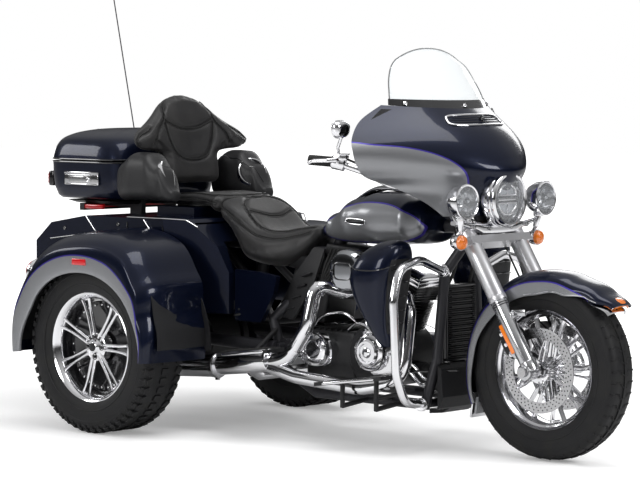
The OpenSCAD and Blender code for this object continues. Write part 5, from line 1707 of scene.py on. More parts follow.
@dataclass
class Engine:
    """The twin: cases, finned cylinders, covers, rocker boxes and air cleaner."""

    crank: Point = (950.0, -14.0, 322.0)
    lean: float = 22.5

    def up(self, sign: float, reach: float, aside: float = 0.0, y: float = 0.0) -> Vector:
        """Returns a point along a cylinder, moved fore or aft of it and sideways."""
        turn = math.radians(self.lean) * sign
        x = self.crank[0] + reach * math.sin(turn) + aside * math.cos(turn)
        return Vector((x, y, self.crank[2] + reach * math.cos(turn) - aside * math.sin(turn)))

    def cylinders(self) -> None:
        """Builds the barrels, their fins, the heads and the rocker boxes."""
        barrel, fins, heads, rockers, bolts = Form(), Form(), Form(), Form(), Form()
        for sign in (-1, 1):
            axis = self.up(sign, 1) - self.up(sign, 0)
            barrel.rod(self.up(sign, 119), self.up(sign, 296), 60, segments=40)
            for k in range(10):
                at = self.up(sign, 128 + k * 11.5)
                fins.lathe(at, axis, [(-1.6, 56), (-1.0, 77), (0, 78), (1.0, 77), (1.6, 56)], 56, True)
            turn = (0, sign * self.lean, 0)
            for k in range(6):
                fins.block(self.up(sign, 247 + k * 9.5), (128 - 3 * k, 154 - 2 * k, 3.2), turn, 1.2, 1)
            heads.block(self.up(sign, 272), (112, 132, 62), turn, 8, 3)
            rockers.block(self.up(sign, 304), (118, 148, 15), turn, 4, 2)
            rockers.block(self.up(sign, 317), (112, 140, 14), turn, 5, 2)
            rockers.surface(22, 30, lambda u, v, s=sign: self.up(s,
                322 + 19 * math.sin(math.pi * u) ** 0.5 * (1 - abs(2 * v - 1) ** 6 * 0.5),
                -50 * math.cos(math.pi * u), (2 * v - 1) * 66))
            for side in (-1, 1):
                for aside in (-46, 46):
                    at = self.up(sign, 311, aside, side * 62)
                    bolts.rod(at, at + axis * 16, 5.5, segments=6, bevel=0.8)
                plug = self.up(sign, 262, 0, side * 66)
                bolts.rod(plug, plug + Vector((0, side * 22, 6)), 6, segments=16, bevel=1.5)
        barrel.piece("barrels", ENGINE_BLACK, stands_for=("cylinders",))
        fins.piece("fins", FIN_BLACK)
        heads.piece("heads", ENGINE_BLACK)
        rockers.piece("rocker_boxes", CHROME, sharp=45)
        bolts.piece("head_bolts", CHROME)

    def pushrods(self) -> None:
        """Builds the pushrod tubes and tappet blocks on the right."""
        tubes, blocks = Form(), Form()
        for sign in (-1, 1):
            for shift in (-13, 13):
                low = Vector((958 + sign * 34 + shift * 0.6, -112, 412))
                high = self.up(sign, 262, -sign * 22 + shift, -84)
                tubes.rod(low, high, 7.5, segments=24)
                for share in (0.04, 0.42, 0.93):
                    at = low.lerp(high, share)
                    tubes.rod(at, low.lerp(high, share + 0.05), 10.5, segments=24, bevel=1.5)
            blocks.block((958 + sign * 36, -106, 408), (56, 34, 34), (0, sign * 22, 0), 5, 2)
        tubes.piece("pushrod_tubes", CHROME)
        blocks.piece("tappet_blocks", CHROME)
        # intake between the heads, and the coil under the tank
        intake = Form().tube(bent([(912, -40, 590), (950, -70, 602), (950, -96, 620), (936, -168, 636)],
            30), 26, 28)
        intake.block((950, -34, 596), (110, 60, 44), bevel=10, segments=3)
        intake.block((950, 40, 640), (120, 90, 60), bevel=8, segments=3)
        intake.piece("intake", SATIN)

    def cases(self) -> None:
        """Builds the crankcase, gearbox, covers and their screws."""
        case, ribs, cover, screws = Form(), Form(), Form(), Form()
        x, _, z = self.crank
        case.rod((x, -122, z), (x, 96, z), 118, segments=96, bevel=8)
        case.block((734, -18, 312), (244, 196, 180), bevel=16, segments=3)
        case.block((x - 6, -14, 420), (150, 170, 66), bevel=14, segments=3)
        case.rod((1044, 0, 262), (1140, 0, 262), 38, segments=48, bevel=5)
        for k in range(7):
            ribs.block((648 + k * 28, -18, 404), (5, 190, 12), bevel=1.5, segments=1)
        for k in range(9):
            turn = math.radians(-70 + k * 24)
            ribs.block((x + 112 * math.sin(turn), -66, z + 112 * math.cos(turn)), (6, 96, 20),
                (0, math.degrees(turn), 0), 1.5, 1)
        for k in range(5):
            ribs.lathe((1060 + k * 14, 0, 262), (1, 0, 0), [(-1.5, 36), (-1, 40), (1, 40), (1.5, 36)], 40,
                True)
        case.piece("engine_cases", ENGINE_BLACK, stands_for=("crankcase",), edge=1.0)
        ribs.piece("case_ribs", ENGINE_BLACK)
        # cam cover with its round cap, the gearbox end cover and the oil lines
        at = Vector((964, -122, 338))
        cover.lathe(at, (0, -1, 0), [(0, 70), (34, 70), (42, 66), (46, 58), (47, 50), (54, 48), (58, 42),
            (58, 34), (53, 32), (53, 20), (57, 18), (60, 12), (60, 0)], 96)
        cover.surface(4, 40, lambda u, v: (1004 + 66 * squircle(u, 2.6)[0] * (1 - 0.06 * v),
            -118 - 24 * v, 306 + 58 * squircle(u, 2.6)[1] * (1 - 0.06 * v)), cap=True)
        cover.lathe((700, -116, 330), (0, -1, 0), [(0, 62), (46, 62), (56, 58), (60, 50), (61, 36),
            (57, 34), (57, 0)], 80)
        cover.surface(4, 40, lambda u, v: (690 + 84 * squircle(u, 3)[0] * (1 - 0.05 * v), -112 - 34 * v,
            322 + 56 * squircle(u, 3)[1] * (1 - 0.05 * v)), cap=True)
        cover.piece("side_covers_chrome", CHROME, sharp=30)
        for centre, radius, reach, count in (((964, 338), 62, 165, 5), ((700, 330), 54, 172, 6),
            ((1004, 306), 52, 142, 3)):
            for k in range(count):
                turn = math.tau * (k + 0.3) / count
                px, pz = centre[0] + radius * math.cos(turn), centre[1] + radius * math.sin(turn)
                screws.rod((px, -reach + 8, pz), (px, -reach - 4, pz), 5, segments=14, bevel=1)
                screws.rod((px, -reach - 3.6, pz), (px, -reach - 4.6, pz), 2.6, segments=6)
        screws.piece("cover_screws", BRUSHED)
        pipes = Form()
        for k, (a, b) in enumerate((((1052, -70, 300), (1156, -60, 246)),
            ((1052, -92, 280), (1160, -82, 226)))):
            pipes.tube(flow([a, mix3(a, b, 0.4, 14), b, (1216, -60, 300), (1236, -50, 352)], 20), 6.5, 12)
        pipes.tube(flow([(820, -110, 410), (870, -124, 436), (918, -126, 430), (950, -128, 404)], 16), 5,
            12)
        pipes.tube(flow([(640, -104, 404), (700, -118, 452), (790, -112, 470), (842, -96, 440)], 16), 4.4,
            10)
        pipes.piece("oil_lines", CHROME)

    def primary(self) -> None:
        """Builds the primary cover on the left, with its inspection covers."""
        a, b = corners("primary_cover")
        centre, half = (a + b) / 2, (b - a) / 2
        form, parts = Form(), Form()

        def shape(u: float, v: float) -> Point:
            """Returns a point of the long domed cover."""
            c, s = squircle(u, 3.2)
            shut = 1 - 0.16 * v ** 3
            lean = (half.z * 0.12) * c
            return (centre.x + half.x * c * shut, a.y + (b.y - a.y - 4) * min(v * 1.15, 1.0),
                centre.z + (half.z - 6) * s * shut - lean * 0.3)

        form.surface(14, 88, shape, cap=True)
        form.piece("primary_shell", CHROME, stands_for=("primary_cover",), sharp=50)
        for x, r in ((a.x + half.x * 0.62, min(52, half.z * 0.62)),
            (a.x + half.x * 1.5, min(40, half.z * 0.5))):
            parts.lathe((x, b.y - 8, centre.z), (0, 1, 0), [(0, r), (6, r), (7.5, r - 3), (6, r - 8),
                (5, r - 10), (6.5, 0)], 56)
            for k in range(5):
                turn = math.tau * k / 5
                px, pz = x + (r - 5) * math.cos(turn), centre.z + (r - 5) * math.sin(turn)
                parts.rod((px, b.y - 4, pz), (px, b.y, pz), 4, segments=12, bevel=0.6)
        parts.piece("primary_lids", BRUSHED, slot="chrome")

    def air(self) -> None:
        """Builds the oval air cleaner and its backing plate."""
        a, b = corners("air_cleaner")
        b.y = a.y + 82
        cx, cz, half_x, half_z = (a.x + b.x) / 2, (a.z + b.z) / 2, (b.x - a.x) / 2, (b.z - a.z) / 2
        body, cover, detail = Form(), Form(), Form()

        def disc(scale_x: float, scale_z: float, y: float, power: float = 2.4) -> Callable[[float],
            Point]:
            """Returns a ring of the cleaner at a depth."""
            return lambda u: (cx + half_x * scale_x * squircle(u, power)[0], y,
                cz + half_z * scale_z * squircle(u, power)[1])

        rings = [disc(0.86, 0.86, b.y - 2), disc(0.96, 0.96, b.y - 8), disc(0.98, 0.98, b.y - 30),
            disc(0.90, 0.90, b.y - 36)]
        body.surface(3, 72, lambda u, v: rings[round(v * 3)](u), cap=True)
        for k in range(30):
            at = Vector(disc(0.90, 0.90, b.y - 42)(k / 30))
            body.rod(at + Vector((0, 6, 0)), at - Vector((0, 8, 0)), 4.4, segments=8)
        body.piece("cleaner_base", GLOSS_BLACK, slot="engine_black")
        shells = [(0.88, -38), (0.985, -40), (1.0, -46), (0.985, -56), (0.90, -68), (0.80, -76),
            (0.70, -78), (0.0, -79)]
        cover.surface(7, 96, lambda u, v: disc(shells[round(v * 7)][0],
            shells[round(v * 7)][0] * (1 if v < 0.8 else 0.94), max(b.y + shells[round(v * 7)][1],
            a.y + 1))(u))
        cover.piece("cleaner_cover", DARK_CHROME, stands_for=("air_cleaner",), sharp=26)
        rim = disc(0.56, 0.40, a.y + 1.5, 3.4)
        detail.tube([rim(k / 40) for k in range(41)], 2.0, 8)
        for sign in (-1, 1):
            detail.rod((cx + sign * half_x * 0.7, a.y + 6, cz), (cx + sign * half_x * 0.7, a.y - 1, cz),
                5, segments=6, bevel=0.8)
        detail.piece("cleaner_trim", GLOSS_BLACK)

    def boxes(self) -> None:
        """Builds the battery box, the frame covers and the wiring behind the cylinders."""
        cover, loom = Form(), Form()
        cover.block((600, 0, 520), (190, 180, 170), (0, 12, 0), 14, 3)
        cover.block((742, 0, 690), (170, 120, 46), (0, 4, 0), 10, 3)
        cover.block((560, 0, 640), (150, 170, 60), (0, 10, 0), 12, 3)
        for side in (-1, 1):
            cover.plate([(470, side * 118, 440), (560, side * 118, 430), (650, side * 106, 560),
                (688, side * 84, 700), (640, side * 90, 706), (560, side * 112, 600)], (0, side * 14, 0),
                5)
            for k in range(4):
                cover.block((546 + 26 * k, side * 124, 470 + 44 * k), (44, 18, 8), (0, -18, 0), 2.5, 1)
        for k in range(5):
            loom.tube(flow([(700 + 18 * k, -70, 700), (690 + 10 * k, -96, 640 - 8 * k),
                (668, -100 + 3 * k, 560), (640, -96, 470 + 9 * k)], 16), 4.0, 8)
        cover.piece("frame_covers", PLASTIC)
        loom.piece("wiring_loom", RUBBER)

    def build(self) -> None:
        """Builds the engine."""
        self.boxes()
        self.cylinders()
        self.pushrods()
        self.cases()
        self.primary()
        self.air()


def mix3(a: Point, b: Point, share: float, lift: float) -> Vector:
    """Returns the point at a share from a to b, lifted."""
    return Vector(a).lerp(Vector(b), share) + Vector((0, 0, lift))


@dataclass
class Exhaust:
    """Shields, clamps and tips over the pipes."""

    def build(self) -> None:
        """Builds the heat shields, the clamps and the tail tips."""
        repaint(CHROME, "mufflers")
        shield, clamps = Form(), Form()
        meet = Vector((500, -254, 276))
        away = (Vector((290, -262, 252)) - meet).normalized()
        rear = [(838, -76, 545), (806, -120, 545), (752, -214, 578), (738, -244, 420), (650, -250, 292),
            meet]
        fore = [(1082, -78, 545), (1100, -112, 545), (1146, -150, 500), (1150, -190, 250),
            (990, -240, 216), (690, -254, 236), meet]
        pipes = Form().tube(bent(rear, 120, 12), 25, 36).tube(bent(fore, 110, 12), 25, 36)
        pipes.rod(meet - away * 60, meet + away * 215, 40, segments=48, bevel=4)
        pipes.piece("header_pipes", CHROME, stands_for=("exhaust_headers",))
        # slotted heat shield over the rear header, and its bands
        guard = Form()
        path = bent(rear, 120, 12)
        run = path[len(path) // 3:len(path) * 4 // 5]
        guard.tube([at + Vector((0, -5, 0)) for at in run], 26.5, 32)
        for at, onward in ((run[2], run[3]), (run[-3], run[-2])):
            guard.lathe(at, onward - at, [(-6, 27), (-5, 31), (5, 31), (6, 27)], 40, True)
        guard.piece("header_shield", CHROME)
        for side in (-1, 1):
            start, end = Vector((310, side * 262, 252)), Vector((-330, side * 262, 214))
            run = (end - start).normalized()
            for share in (0.02, 0.5, 0.97):
                at = start.lerp(end, share)
                clamps.lathe(at, run, [(-9, 46), (-8, 49), (8, 49), (9, 46)], 56, True)
                clamps.block(at + Vector((0, 0, -52)), (14, 16, 10), bevel=2)
            tip = Vector((-330, side * 262, 214))
            shield.lathe(tip, (-1, 0, -0.066), [(0, 47), (14, 45), (90, 35), (118, 36), (123, 34),
                (118, 28), (60, 27), (40, 0)], 56)
        shield.piece("exhaust_tips", CHROME)
        clamps.piece("exhaust_clamps", BRUSHED)


@dataclass
class LegShields:
    """The rounded lower fairings, the guard, the chin cowl and the oil cooler."""

    levels: Sequence[Point] = ((384, 1176, 18, 292, 34), (410, 1170, 30, 292, 50),
        (450, 1160, 42, 292, 66), (500, 1143, 62, 290, 78), (560, 1126, 86, 288, 86),
        (620, 1122, 98, 286, 92), (670, 1132, 94, 284, 90), (712, 1150, 80, 280, 78),
        (742, 1170, 56, 276, 56), (756, 1180, 32, 274, 32), (761, 1184, 8, 273, 8))

    def shape(self, u: float, v: float, grow: float = 0.0) -> Point:
        """Returns the point at a share round a shield and up it."""
        a = flowing([row[:3] for row in self.levels], v)
        b = flowing([(*row[3:], 0) for row in self.levels], v)
        c, s = squircle(u, 3.0)
        return (a.y + (a.z + grow) * c, b.x + (b.y + grow) * s, a.x)

    def build(self) -> None:
        """Builds both shields and the front of the frame."""
        skin = Form().surface(64, 84, self.shape, cap=True)
        skin.both_sides().piece("leg_shields_skin", NAVY, stands_for=("lower_fairings",), sharp=60)
        # the vent door, its surround and the joint round the glove box
        door, joint = Form(), Form()
        door.surface(14, 10, lambda u, v: self.shape(mix(0.93, 1.09, u) % 1.0, mix(0.16, 0.66, v),
            2.2)).wall(3)
        door.both_sides().piece("leg_shields_vents", PLASTIC)
        joint.tube([self.shape(mix(0.05, 0.47, k / 40), 0.62 - 0.05 * math.sin(math.pi * k / 40),
            0.6) for k in range(41)], 2.0, 8)
        for k in range(5):
            a = self.shape(0.985, 0.24 + 0.085 * k, 4)
            joint.tube([self.shape(mix(0.95, 1.07, t / 6) % 1.0, 0.24 + 0.085 * k,
                5.0) for t in range(7)], 3.0, 8)
        joint.both_sides().piece("leg_shields_joints", GLOSS_BLACK)
        self.guard()
        self.cowl()

    def guard(self) -> None:
        """Builds the bent chrome guard with its mounting flanges."""
        path = [(1262, 84, 640), (1266, 240, 694), (1266, 352, 668), (1272, 388, 560), (1276, 376, 300),
            (1268, 320, 196), (1216, 150, 170)]
        tube = Form().tube(bent(path, 85, 10), 15.8, 28)
        tube.both_sides().piece("guard_tube", CHROME, stands_for=("engine_guard",))
        flange = Form().rod((1262, 96, 646), (1262, 108, 650), 24, segments=32, bevel=3)
        flange.rod((1222, 168, 171), (1228, 184, 173), 24, segments=32, bevel=3)
        flange.rod((1262, 108, 650), (1262, 116, 653), 12, segments=6)
        flange.both_sides().piece("guard_flanges", CHROME)

    def cowl(self) -> None:
        """Builds the chin cowl and the finned oil cooler."""
        reach = corners("front_cowl")[1].y
        repaint(PLASTIC, "front_cowl")
        edge, cooler = Form(), Form()
        for side in (-1, 1):
            edge.tube(bent([(960, side * (reach - 6), 250), (1180, side * (reach + 1), 286),
                (1330, side * (reach - 46), 296)], 60), 4.0, 8)
            edge.block((1250, side * (reach - 18), 216), (90, 5, 10), (0, 4, -side * 20), 2)
        edge.piece("cowl_edges", GLOSS_BLACK)
        for k in range(34):
            cooler.block((1253, 0, 334 + k * 7.4), (26, 158, 2.2), bevel=0.6, segments=1)
        for side in (-1, 1):
            cooler.rod((1253, side * 82, 330), (1253, side * 82, 588), 12, segments=20, bevel=3)
        cooler.block((1253, 0, 326), (30, 172, 10), bevel=3)
        cooler.block((1253, 0, 592), (30, 172, 10), bevel=3)
        cooler.piece("oil_cooler", FIN_BLACK, slot="trim_black")
        lines = Form()
        for side in (-1, 1):
            lines.tube(flow([(1266, side * 40, 800), (1290, side * 60, 740), (1276, side * 52, 660),
                (1250, side * 60, 596)], 20), 6, 10)
        lines.piece("cooler_lines", RUBBER)


@dataclass
class Boards:
    """Rubbers on the boards and pedals."""

    def build(self) -> None:
        """Builds the treads and edge trims on both sides."""
        repaint(ENGINE_BLACK, "footboards")
        mat, trim = Form(), Form()
        slope = math.tan(math.radians(8))
        mat.block((1050, 326, 260 - 2), (300, 92, 6), (0, -8, 0), 2.5)
        for k in range(9):
            mat.block((934 + k * 29, 326, 261.5 + (k * 29 + 934 - 1050) * slope), (12, 80, 5), (0, -8, 0),
                1.5, 1)
        mat.block((546, 346, 332), (238, 78, 6), (0, -7, 0), 2.5)
        for k in range(7):
            mat.block((456 + k * 30, 346, 335 + (k * 30 + 456 - 546) * 0.123), (12, 68, 5), (0, -7, 0),
                1.5, 1)
        trim.tube(bent([(900, 276, 236), (900, 376, 236), (1204, 376, 279), (1204, 276, 279)], 40), 5.0,
            12, 1.5)
        trim.tube(bent([(424, 304, 309), (424, 390, 309), (668, 390, 339), (668, 304, 339)], 34), 5.0, 12,
            1.5)
        pedal = Form().block((1228, 285, 242), (50, 64, 5), (0, -2, 0), 2)
        for k in range(5):
            pedal.block((1212 + k * 8, 285, 246), (3, 56, 3), bevel=0.8, segments=1)
        mat.both_sides().piece("board_rubbers", RUBBER)
        trim.both_sides().piece("board_trims", CHROME)
        pedal.both_sides().piece("pedal_rubbers", RUBBER)


# ---------------------------------------------------------------- soft parts


@dataclass
class Pad:
    """A stuffed piece, blown up by a short cloth simulation and then sewn."""

    name: str
    form: Form
    cap: float = 16.0
    voxel: float = 6.0
    pressure: float = 4.0
    seams: Sequence[Sequence[Point]] = ()
    seam_depth: float = 6.0
    seam_width: float = 16.0

    def inflate(self, item: bpy.types.Object) -> None:
        """Swells the mesh under pressure, holding each point within the cap.

        Args:
            item: The object, which keeps the swollen mesh.
        """
        scene = bpy.context.scene
        remesh = item.modifiers.new("remesh", "REMESH")
        remesh.mode, remesh.voxel_size = "VOXEL", self.voxel * MM
        self.apply(item)
        before = [vert.co.copy() for vert in item.data.vertices]
        cloth = item.modifiers.new("cloth", "CLOTH")
        cloth.settings.quality = 4
        cloth.settings.use_pressure = True
        cloth.settings.uniform_pressure_force = self.pressure
        cloth.settings.effector_weights.gravity = 0
        cloth.point_cache.frame_start, cloth.point_cache.frame_end = 1, 20
        for number in range(1, 21):
            scene.frame_set(number)
        self.apply(item)
        scene.frame_set(1)
        limit = self.cap * MM
        for vert, start in zip(item.data.vertices, before):
            moved = vert.co - start
            if moved.length > limit:
                vert.co = start + moved.normalized() * limit

    @staticmethod
    def apply(item: bpy.types.Object) -> None:
        """Turns the object's modifiers into its mesh."""
        graph = bpy.context.evaluated_depsgraph_get()
        mesh = bpy.data.meshes.new_from_object(item.evaluated_get(graph))
        item.modifiers.clear()
        item.data = mesh

    def sew(self, item: bpy.types.Object) -> list[list[Vector]]:
        """Pulls the surface in along each seam.

        Args:
            item: The swollen object.

        Returns:
            Each seam's path, laid on the surface, in millimetres.
        """
        soft = bmesh.new()
        soft.from_mesh(item.data)
        axes = {"use_axis_x": True, "use_axis_y": True, "use_axis_z": True}
        for _ in range(2):
            bmesh.ops.smooth_vert(soft, verts=soft.verts[:], factor=0.5, **axes)
        tree = BVHTree.FromBMesh(soft)
        back, paths, marks = TO_ROW.inverted(), [], []
        for seam in self.seams:
            laid = []
            for k in range(81):
                near, normal, _, _ = tree.find_nearest(TO_ROW @ flowing(seam, k / 80))
                laid.append(back @ near)
                marks.append((near, normal))
            paths.append(laid)
        nearest = KDTree(len(marks) or 1)
        for k, (near, _) in enumerate(marks):
            nearest.insert(near, k)
        nearest.balance()
        soft.normal_update()
        width = self.seam_width * MM
        for vert in soft.verts:
            if marks:
                _, k, far = nearest.find(vert.co)
                if far < width:
                    vert.co -= vert.normal * self.seam_depth * MM * (1 - (far / width) ** 2) ** 2
        soft.to_mesh(item.data)
        soft.free()
        return paths

    def build(self, stands_for: Sequence[str] = (), fill: float = 0.8) -> bpy.types.Object:
        """Builds the pad and its seams.

        Args:
            stands_for: CAD nodes that it replaces.
            fill: How full it is; not used.

        Returns:
            The pad.
        """
        item = bpy.data.objects.new(self.name, self.form.mesh(self.name))
        bpy.context.scene.collection.objects.link(item)
        self.inflate(item)
        paths = self.sew(item)
        item.data.shade_smooth()
        bpy.context.scene.collection.objects.unlink(item)
        settle(item, Body.ROOT, LEATHER, stands_for=stands_for, smooth=1)
        piping = Form()
        for path in paths:
            lowered = path[:]
            piping.tube(lowered[::2], 2.4, 8)
        if paths:
            piping.piece(f"{self.name}_piping", PIPING)
        return item


@dataclass
class Seating:
    """The rider's and pillion's seat, the backrest and the speaker pods."""

    width: Table = ((-96, 168), (60, 182), (170, 178), (262, 194), (360, 194), (450, 180), (520, 148),
        (580, 106), (650, 62))
    low: Table = ((-96, 842), (120, 842), (205, 803), (240, 769), (290, 704), (340, 636), (360, 628),
        (470, 622), (550, 652), (610, 716), (650, 748))
    high: Table = ((-96, 882), (60, 892), (160, 886), (240, 884), (320, 838), (400, 776), (480, 764),
        (560, 782), (634, 806))
    back_width: Table = ((905, 128), (925, 152), (980, 166), (1030, 178), (1046, 226), (1062, 288),
        (1085, 320), (1112, 318), (1140, 284), (1168, 232), (1195, 190), (1220, 160), (1242, 128),
        (1260, 88), (1272, 40), (1275, 12))

    def rider(self, u: float, v: float) -> Point:
        """Returns the rider's seat at a share round a station and along it."""
        x = mix(196, 630, v)
        a, b = squircle(u, 3.2)
        low, high = smooth(self.low, x) + 7, smooth(self.high, x) - 8
        half = smooth(self.width, x) - 9
        dish = 12 * (1 - min(abs(a) / 0.72, 1.0) ** 2) * along(((196, 0.0), (300, 0.7), (440, 1.2),
            (560, 0.4)), x)
        dish *= max(b, 0.0)
        end = along(((196, 0.80), (226, 1.0), (600, 1.0), (630, 0.82)), x)
        mid = (low + high) / 2
        return (x, half * a * end, mid + (high - low) / 2 * b * end - dish)

    def pillion(self, u: float, v: float) -> Point:
        """Returns the pillion's seat at a share round a station and along it."""
        x = mix(-92, 206, v)
        a, b = squircle(u, 3.4)
        low, high = along(self.low, x) + 6, along(self.high, x) - 4
        dish = 9 * (1 - a * a) * math.sin(math.pi * v) * max(b, 0.0)
        end = along(((-92, 0.9), (-76, 1.0), (180, 1.0), (206, 0.8)), x)
        mid = (low + high) / 2
        return (x, (along(self.width, x) - 8) * a * end, mid + (high - low) / 2 * b * end - dish)

    def back(self, u: float, v: float) -> Point:
        """Returns the backrest at a share round a level and up it."""
        z = mix(908, 1273, v)
        a, b = squircle(u, 3.0)
        half = max(smooth(self.back_width, z) - 9, 3)
        y = half * a
        thick = along(((908, 20), (930, 25), (1180, 24), (1240, 18), (1270, 11)), z)
        hollow = 9 * max(b, 0.0) * math.exp(-((z - 1085) / 62) ** 2) * (1 - min(abs(y) / 150, 1.0) ** 2)
        x = -121 - (z - 1001) * 0.22 + 0.00045 * y * y + thick * b - hollow
        return (x, y, z)

    def build(self) -> None:
        """Builds every soft part."""
        seat = Pad("seat_rider", Form().surface(60, 64, self.rider, cap=True), cap=11,
            seams=([(300, -118, 850), (262, -60, 884), (255, 0, 886), (262, 60, 884), (300, 118, 850),
            (390, 138, 800), (478, 116, 778), (520, 60, 775), (530, 0, 775), (520, -60, 775),
            (478, -116, 778), (390, -138, 800), (300, -118, 850)],
            [(330, -118, 838), (350, -40, 812), (352, 0, 808), (350, 40, 812), (330, 118, 838)],
            [(214, -160, 846), (300, -172, 800), (400, -164, 752), (500, -138, 744), (600, -88, 770)],
            [(214, 160, 846), (300, 172, 800), (400, 164, 752), (500, 138, 744), (600, 88, 770)],
            [(478, -116, 778), (540, -84, 778), (600, -60, 790)], [(478, 116, 778), (540, 84, 778),
            (600, 60, 790)]))
        seat.build(("seat",), 0.85)
        pillion = Pad("seat_pillion", Form().surface(44, 60, self.pillion, cap=True), cap=9,
            seams=([(-70, -130, 886), (60, -140, 892), (176, -126, 884), (190, 0, 884), (176, 126, 884),
            (60, 140, 892), (-70, 130, 886)], [(-90, -160, 862), (60, -176, 864), (190, -164, 850)],
            [(-90, 160, 862), (60, 176, 864), (190, 164, 850)]))
        pillion.build((), 0.85)
        rest = Pad("backrest_pad", Form().surface(64, 72, self.back, cap=True), cap=13,
            seams=([(-120, -132, 1166), (-118, -60, 1140), (-116, 0, 1134), (-118, 60, 1140),
            (-120, 132, 1166)], [(-118, -134, 1160), (-104, -118, 1090), (-92, -84, 1034),
            (-86, -44, 1018), (-85, 0, 1014), (-86, 44, 1018), (-92, 84, 1034), (-104, 118, 1090),
            (-118, 134, 1160)], [(-150, -112, 1262), (-134, -124, 1210), (-118, -140, 1164),
            (-90, -186, 1120), (-84, -206, 1070)], [(-150, 112, 1262), (-134, 124, 1210),
            (-118, 140, 1164), (-90, 186, 1120), (-84, 206, 1070)],
            [(-96, -224, 1164), (-70, -290, 1120), (-62, -312, 1090), (-66, -290, 1062)],
            [(-96, 224, 1164), (-70, 290, 1120), (-62, 312, 1090), (-66, 290, 1062)]))
        rest.build(("backrest",), 0.8)
        self.pods()

    def pods(self) -> None:
        """Builds the speaker pods with their rings and grilles."""
        half_w: Table = ((-212, 44), (-120, 66), (-40, 68), (30, 50), (72, 30))
        low: Table = ((-212, 858), (-40, 860), (72, 858))
        high: Table = ((-212, 1000), (-110, 1044), (-50, 1042), (10, 990), (72, 900))

        def shape(u: float, v: float) -> Point:
            """Returns a point of a pod at a share round a station and along it."""
            x = mix(-212, 72, v)
            a, b = squircle(u, 3.0)
            bottom, top = along(low, x), along(high, x)
            end = along(((-212, 0.86), (-196, 1.0), (60, 1.0), (72, 0.8)), x)
            return (x, 260 + along(half_w, x) * a * end,
                (bottom + top) / 2 + (top - bottom) / 2 * b * end)

        pod = Form().surface(52, 56, shape, cap=True)
        pod.both_sides().piece("pods_shell", PODS, stands_for=("speaker_pods",), sharp=60)
        ring, mesh, seam = Form(), Form(), Form()
        at, facing = Vector((-2, 238, 956)), Vector((0.80, -0.42, 0.42))
        ring.lathe(at, facing, [(-20, 58), (6, 60), (11, 58), (12, 55), (9, 52), (-18, 54)], 64, True)
        profile = [(-14, 0), (-14, 54), (4, 54)]
        profile += [(4 - 0.10 * k + (1.3 if k % 2 else 0), 51 - k * 3.2) for k in range(15)] + [(3, 0)]
        mesh.lathe(at, facing, profile, 56)
        seam.tube([Vector(shape(0.25 + 0.16 * math.sin(math.pi * k / 30), k / 30)) for k in range(2, 29)],
            2.0, 8)
        ring.both_sides().piece("pods_rings", CHROME)
        mesh.both_sides().piece("pods_grilles", PLASTIC)
        seam.both_sides().piece("pods_seams", GLOSS_BLACK)


# ---------------------------------------------------------------- rear body


